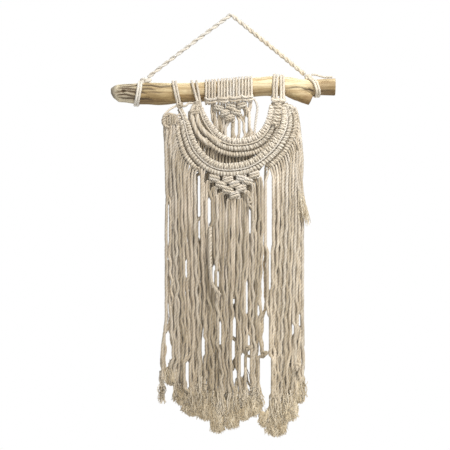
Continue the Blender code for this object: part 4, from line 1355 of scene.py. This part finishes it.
on_wads = [line for wad in WADS for line in wisps(*wad)]
for name, lines in (("wad_wisps", on_wads), ("tufts_front", front_yarns), ("tufts_back", back_yarns)):
    lay_strands(name, lines, combed, section=yarn)
lay_strands("tuft_plies", plies, undyed)


# ---- Odd strands in front -------------------------------------------------------------------------------
# A few strands stray from the rest: a loose curl and three small overhand knots, one strand from the tip
# of the large triangle, and one that is twisted tight as a rope and swings across.
CURL = (
    (25.0, -39.0, -262.0), (25.8, -39.5, -270.0), (29.6, -40.5, -274.0), (30.6, -41.0, -278.5),
    (27.0, -41.0, -280.5), (26.6, -40.5, -284.0), (31.0, -40.0, -287.5), (32.5, -39.0, -296.0),
    (32.0, -37.5, -308.0),
)
SMALL_KNOTS = (
    ((49.0, -38.5, -506.0), (1.6, 1.2, 1.7)),
    ((25.5, -38.5, -497.0), (1.2, 1.0, 1.4)),
    ((100.0, -38.0, -524.0), (1.1, 1.0, 1.9)),
)
SWINGING = (
    (-31.0, -35.0, -316.0), (-31.4, -40.0, -330.0), (-31.6, -41.5, -352.0), (-31.2, -41.8, -380.0),
    (-28.8, -42.0, -398.0), (-24.0, -42.0, -408.0), (-16.0, -41.0, -418.0),
)
FROM_THE_TIP = (
    (5.6, -32.0, -270.0), (5.2, -33.4, -284.0), (4.4, -33.6, -308.0), (5.0, -33.2, -336.0),
    (4.2, -32.0, -366.0), (4.8, -30.0, -396.0), (4.4, -27.5, -424.0),
)
ROPE_PITCH, ROPE_OFFSET = 11.0, 1.45
CURL_STEP, ROPE_STEP = 1.4, 1.2  # more rings where a strand bends sharply
stray = [through(CURL, CURL_STEP), *(through(overhand(*knot), 1.3, 5) for knot in SMALL_KNOTS)]
lay_strands("stray_curls", stray, worn, section=three_ply, radius=1.75)
lay_strands("tip_strand", [through(FROM_THE_TIP, FRONT_STEP)], worn, radius=2.3, lay=FRINGE_LAY)
swinging = through(SWINGING, ROPE_STEP)
rope = [twist_round(swinging, ROPE_OFFSET, run_of(swinging) / ROPE_PITCH, start) for start in (0.0, math.pi)]
lay_strands("tight_rope", rope, undyed, section=three_ply, radius=1.6)


# ---- Flare at the right ---------------------------------------------------------------------------------
# Three short strands at the right edge lean outwards and have frayed into a flare of loose yarns.
FLARED_STRANDS, FLARED_YARNS = 3, 18
flare, flare_yarns = [], []
for index in range(FLARED_STRANDS):
    route = through(
        (
            (95.6 + 2.6 * index, -37.0, -222.0),
            (98.4 + 3.1 * index, -38.6, -242.0),
            (100.8 + 3.2 * index, -39.4, -262.0 - 4 * index),
        ),
        FRONT_STEP,
    )
    flare.append(route)
    x, y, z = route[-1]
    for each in range(FLARED_YARNS):
        part = np.linspace(0, 1, 9)
        lean, wave, start = chance.normal(0.14, 0.06), chance.uniform(0.2, 0.9), chance.uniform(0, ROUND)
        length = chance.uniform(36.0, 50.0)
        row_x = x + chance.normal(0, 0.7) + lean * length * part + wave * part * np.sin(5 * part + start)
        row_y = y + chance.normal(0, 0.7) + chance.normal(0, 1.0) * part
        size = YARN * np.interp(part, (0, 0.85, 1), (1.0, 0.85, 0.5))
        flare_yarns.append(np.column_stack([row_x, row_y, z + 4.0 - length * part, size]))
lay_strands("flared_ends", flare, worn, radius=1.9)
lay_strands("flared_yarns", flare_yarns, combed, section=yarn)


# ---- Backs of the bare holding cords --------------------------------------------------------------------
# The holding cords are doubled: behind each bare one at the left of the inner swag runs its other half,
# in its shade, which is painted into its darker cotton.
doubled = []
for line, aside in ((BARE_CORDS[0], 3.6), (BARE_CORDS[1], 3.6), (BARE_CORDS[0], -3.0)):
    doubled.append(through([(x + aside, y + 4.4, z - 1.0) for x, y, z in line[1:]]))
lay_cords("inner_doubled_cords", doubled, in_painted_shade, radius=3.2, lay=HOLDING_LAY)


# ---- Strands in the shade of the side ridges ------------------------------------------------------------
# Behind the first layer, the strands of the second leave the side ridges of the outer swag in its shade, which
# is painted into their dark brown cotton.
under = []
for first, last in ((1.2, 4.3), (9.6, 12.6)):
    for x, y, z, out_x, out_z, wide in along_swag(OUTER_SWAG, 29.0, first, last, 3.7):
        y += 4.4
        top = (x - 3.0 * out_x, y, z - 3.0 * out_z)
        under.append(through((top, (x + 2.0 * out_x, y, z - 6.0), (x + 2.5 * out_x, y, z - 16.0)), HIDDEN_STEP))
lay_strands("strands_under_ridges", under, deep, radius=2.1)


# ---- The finished hanging -------------------------------------------------------------------------------
# Every cord, knot and tuft is on the branch now; the boxes of the plain solids and of this model are kept
# beside each other.
size = {"cad": [list(cad_low), list(cad_high)], "visual": [list(corner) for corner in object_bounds()]}
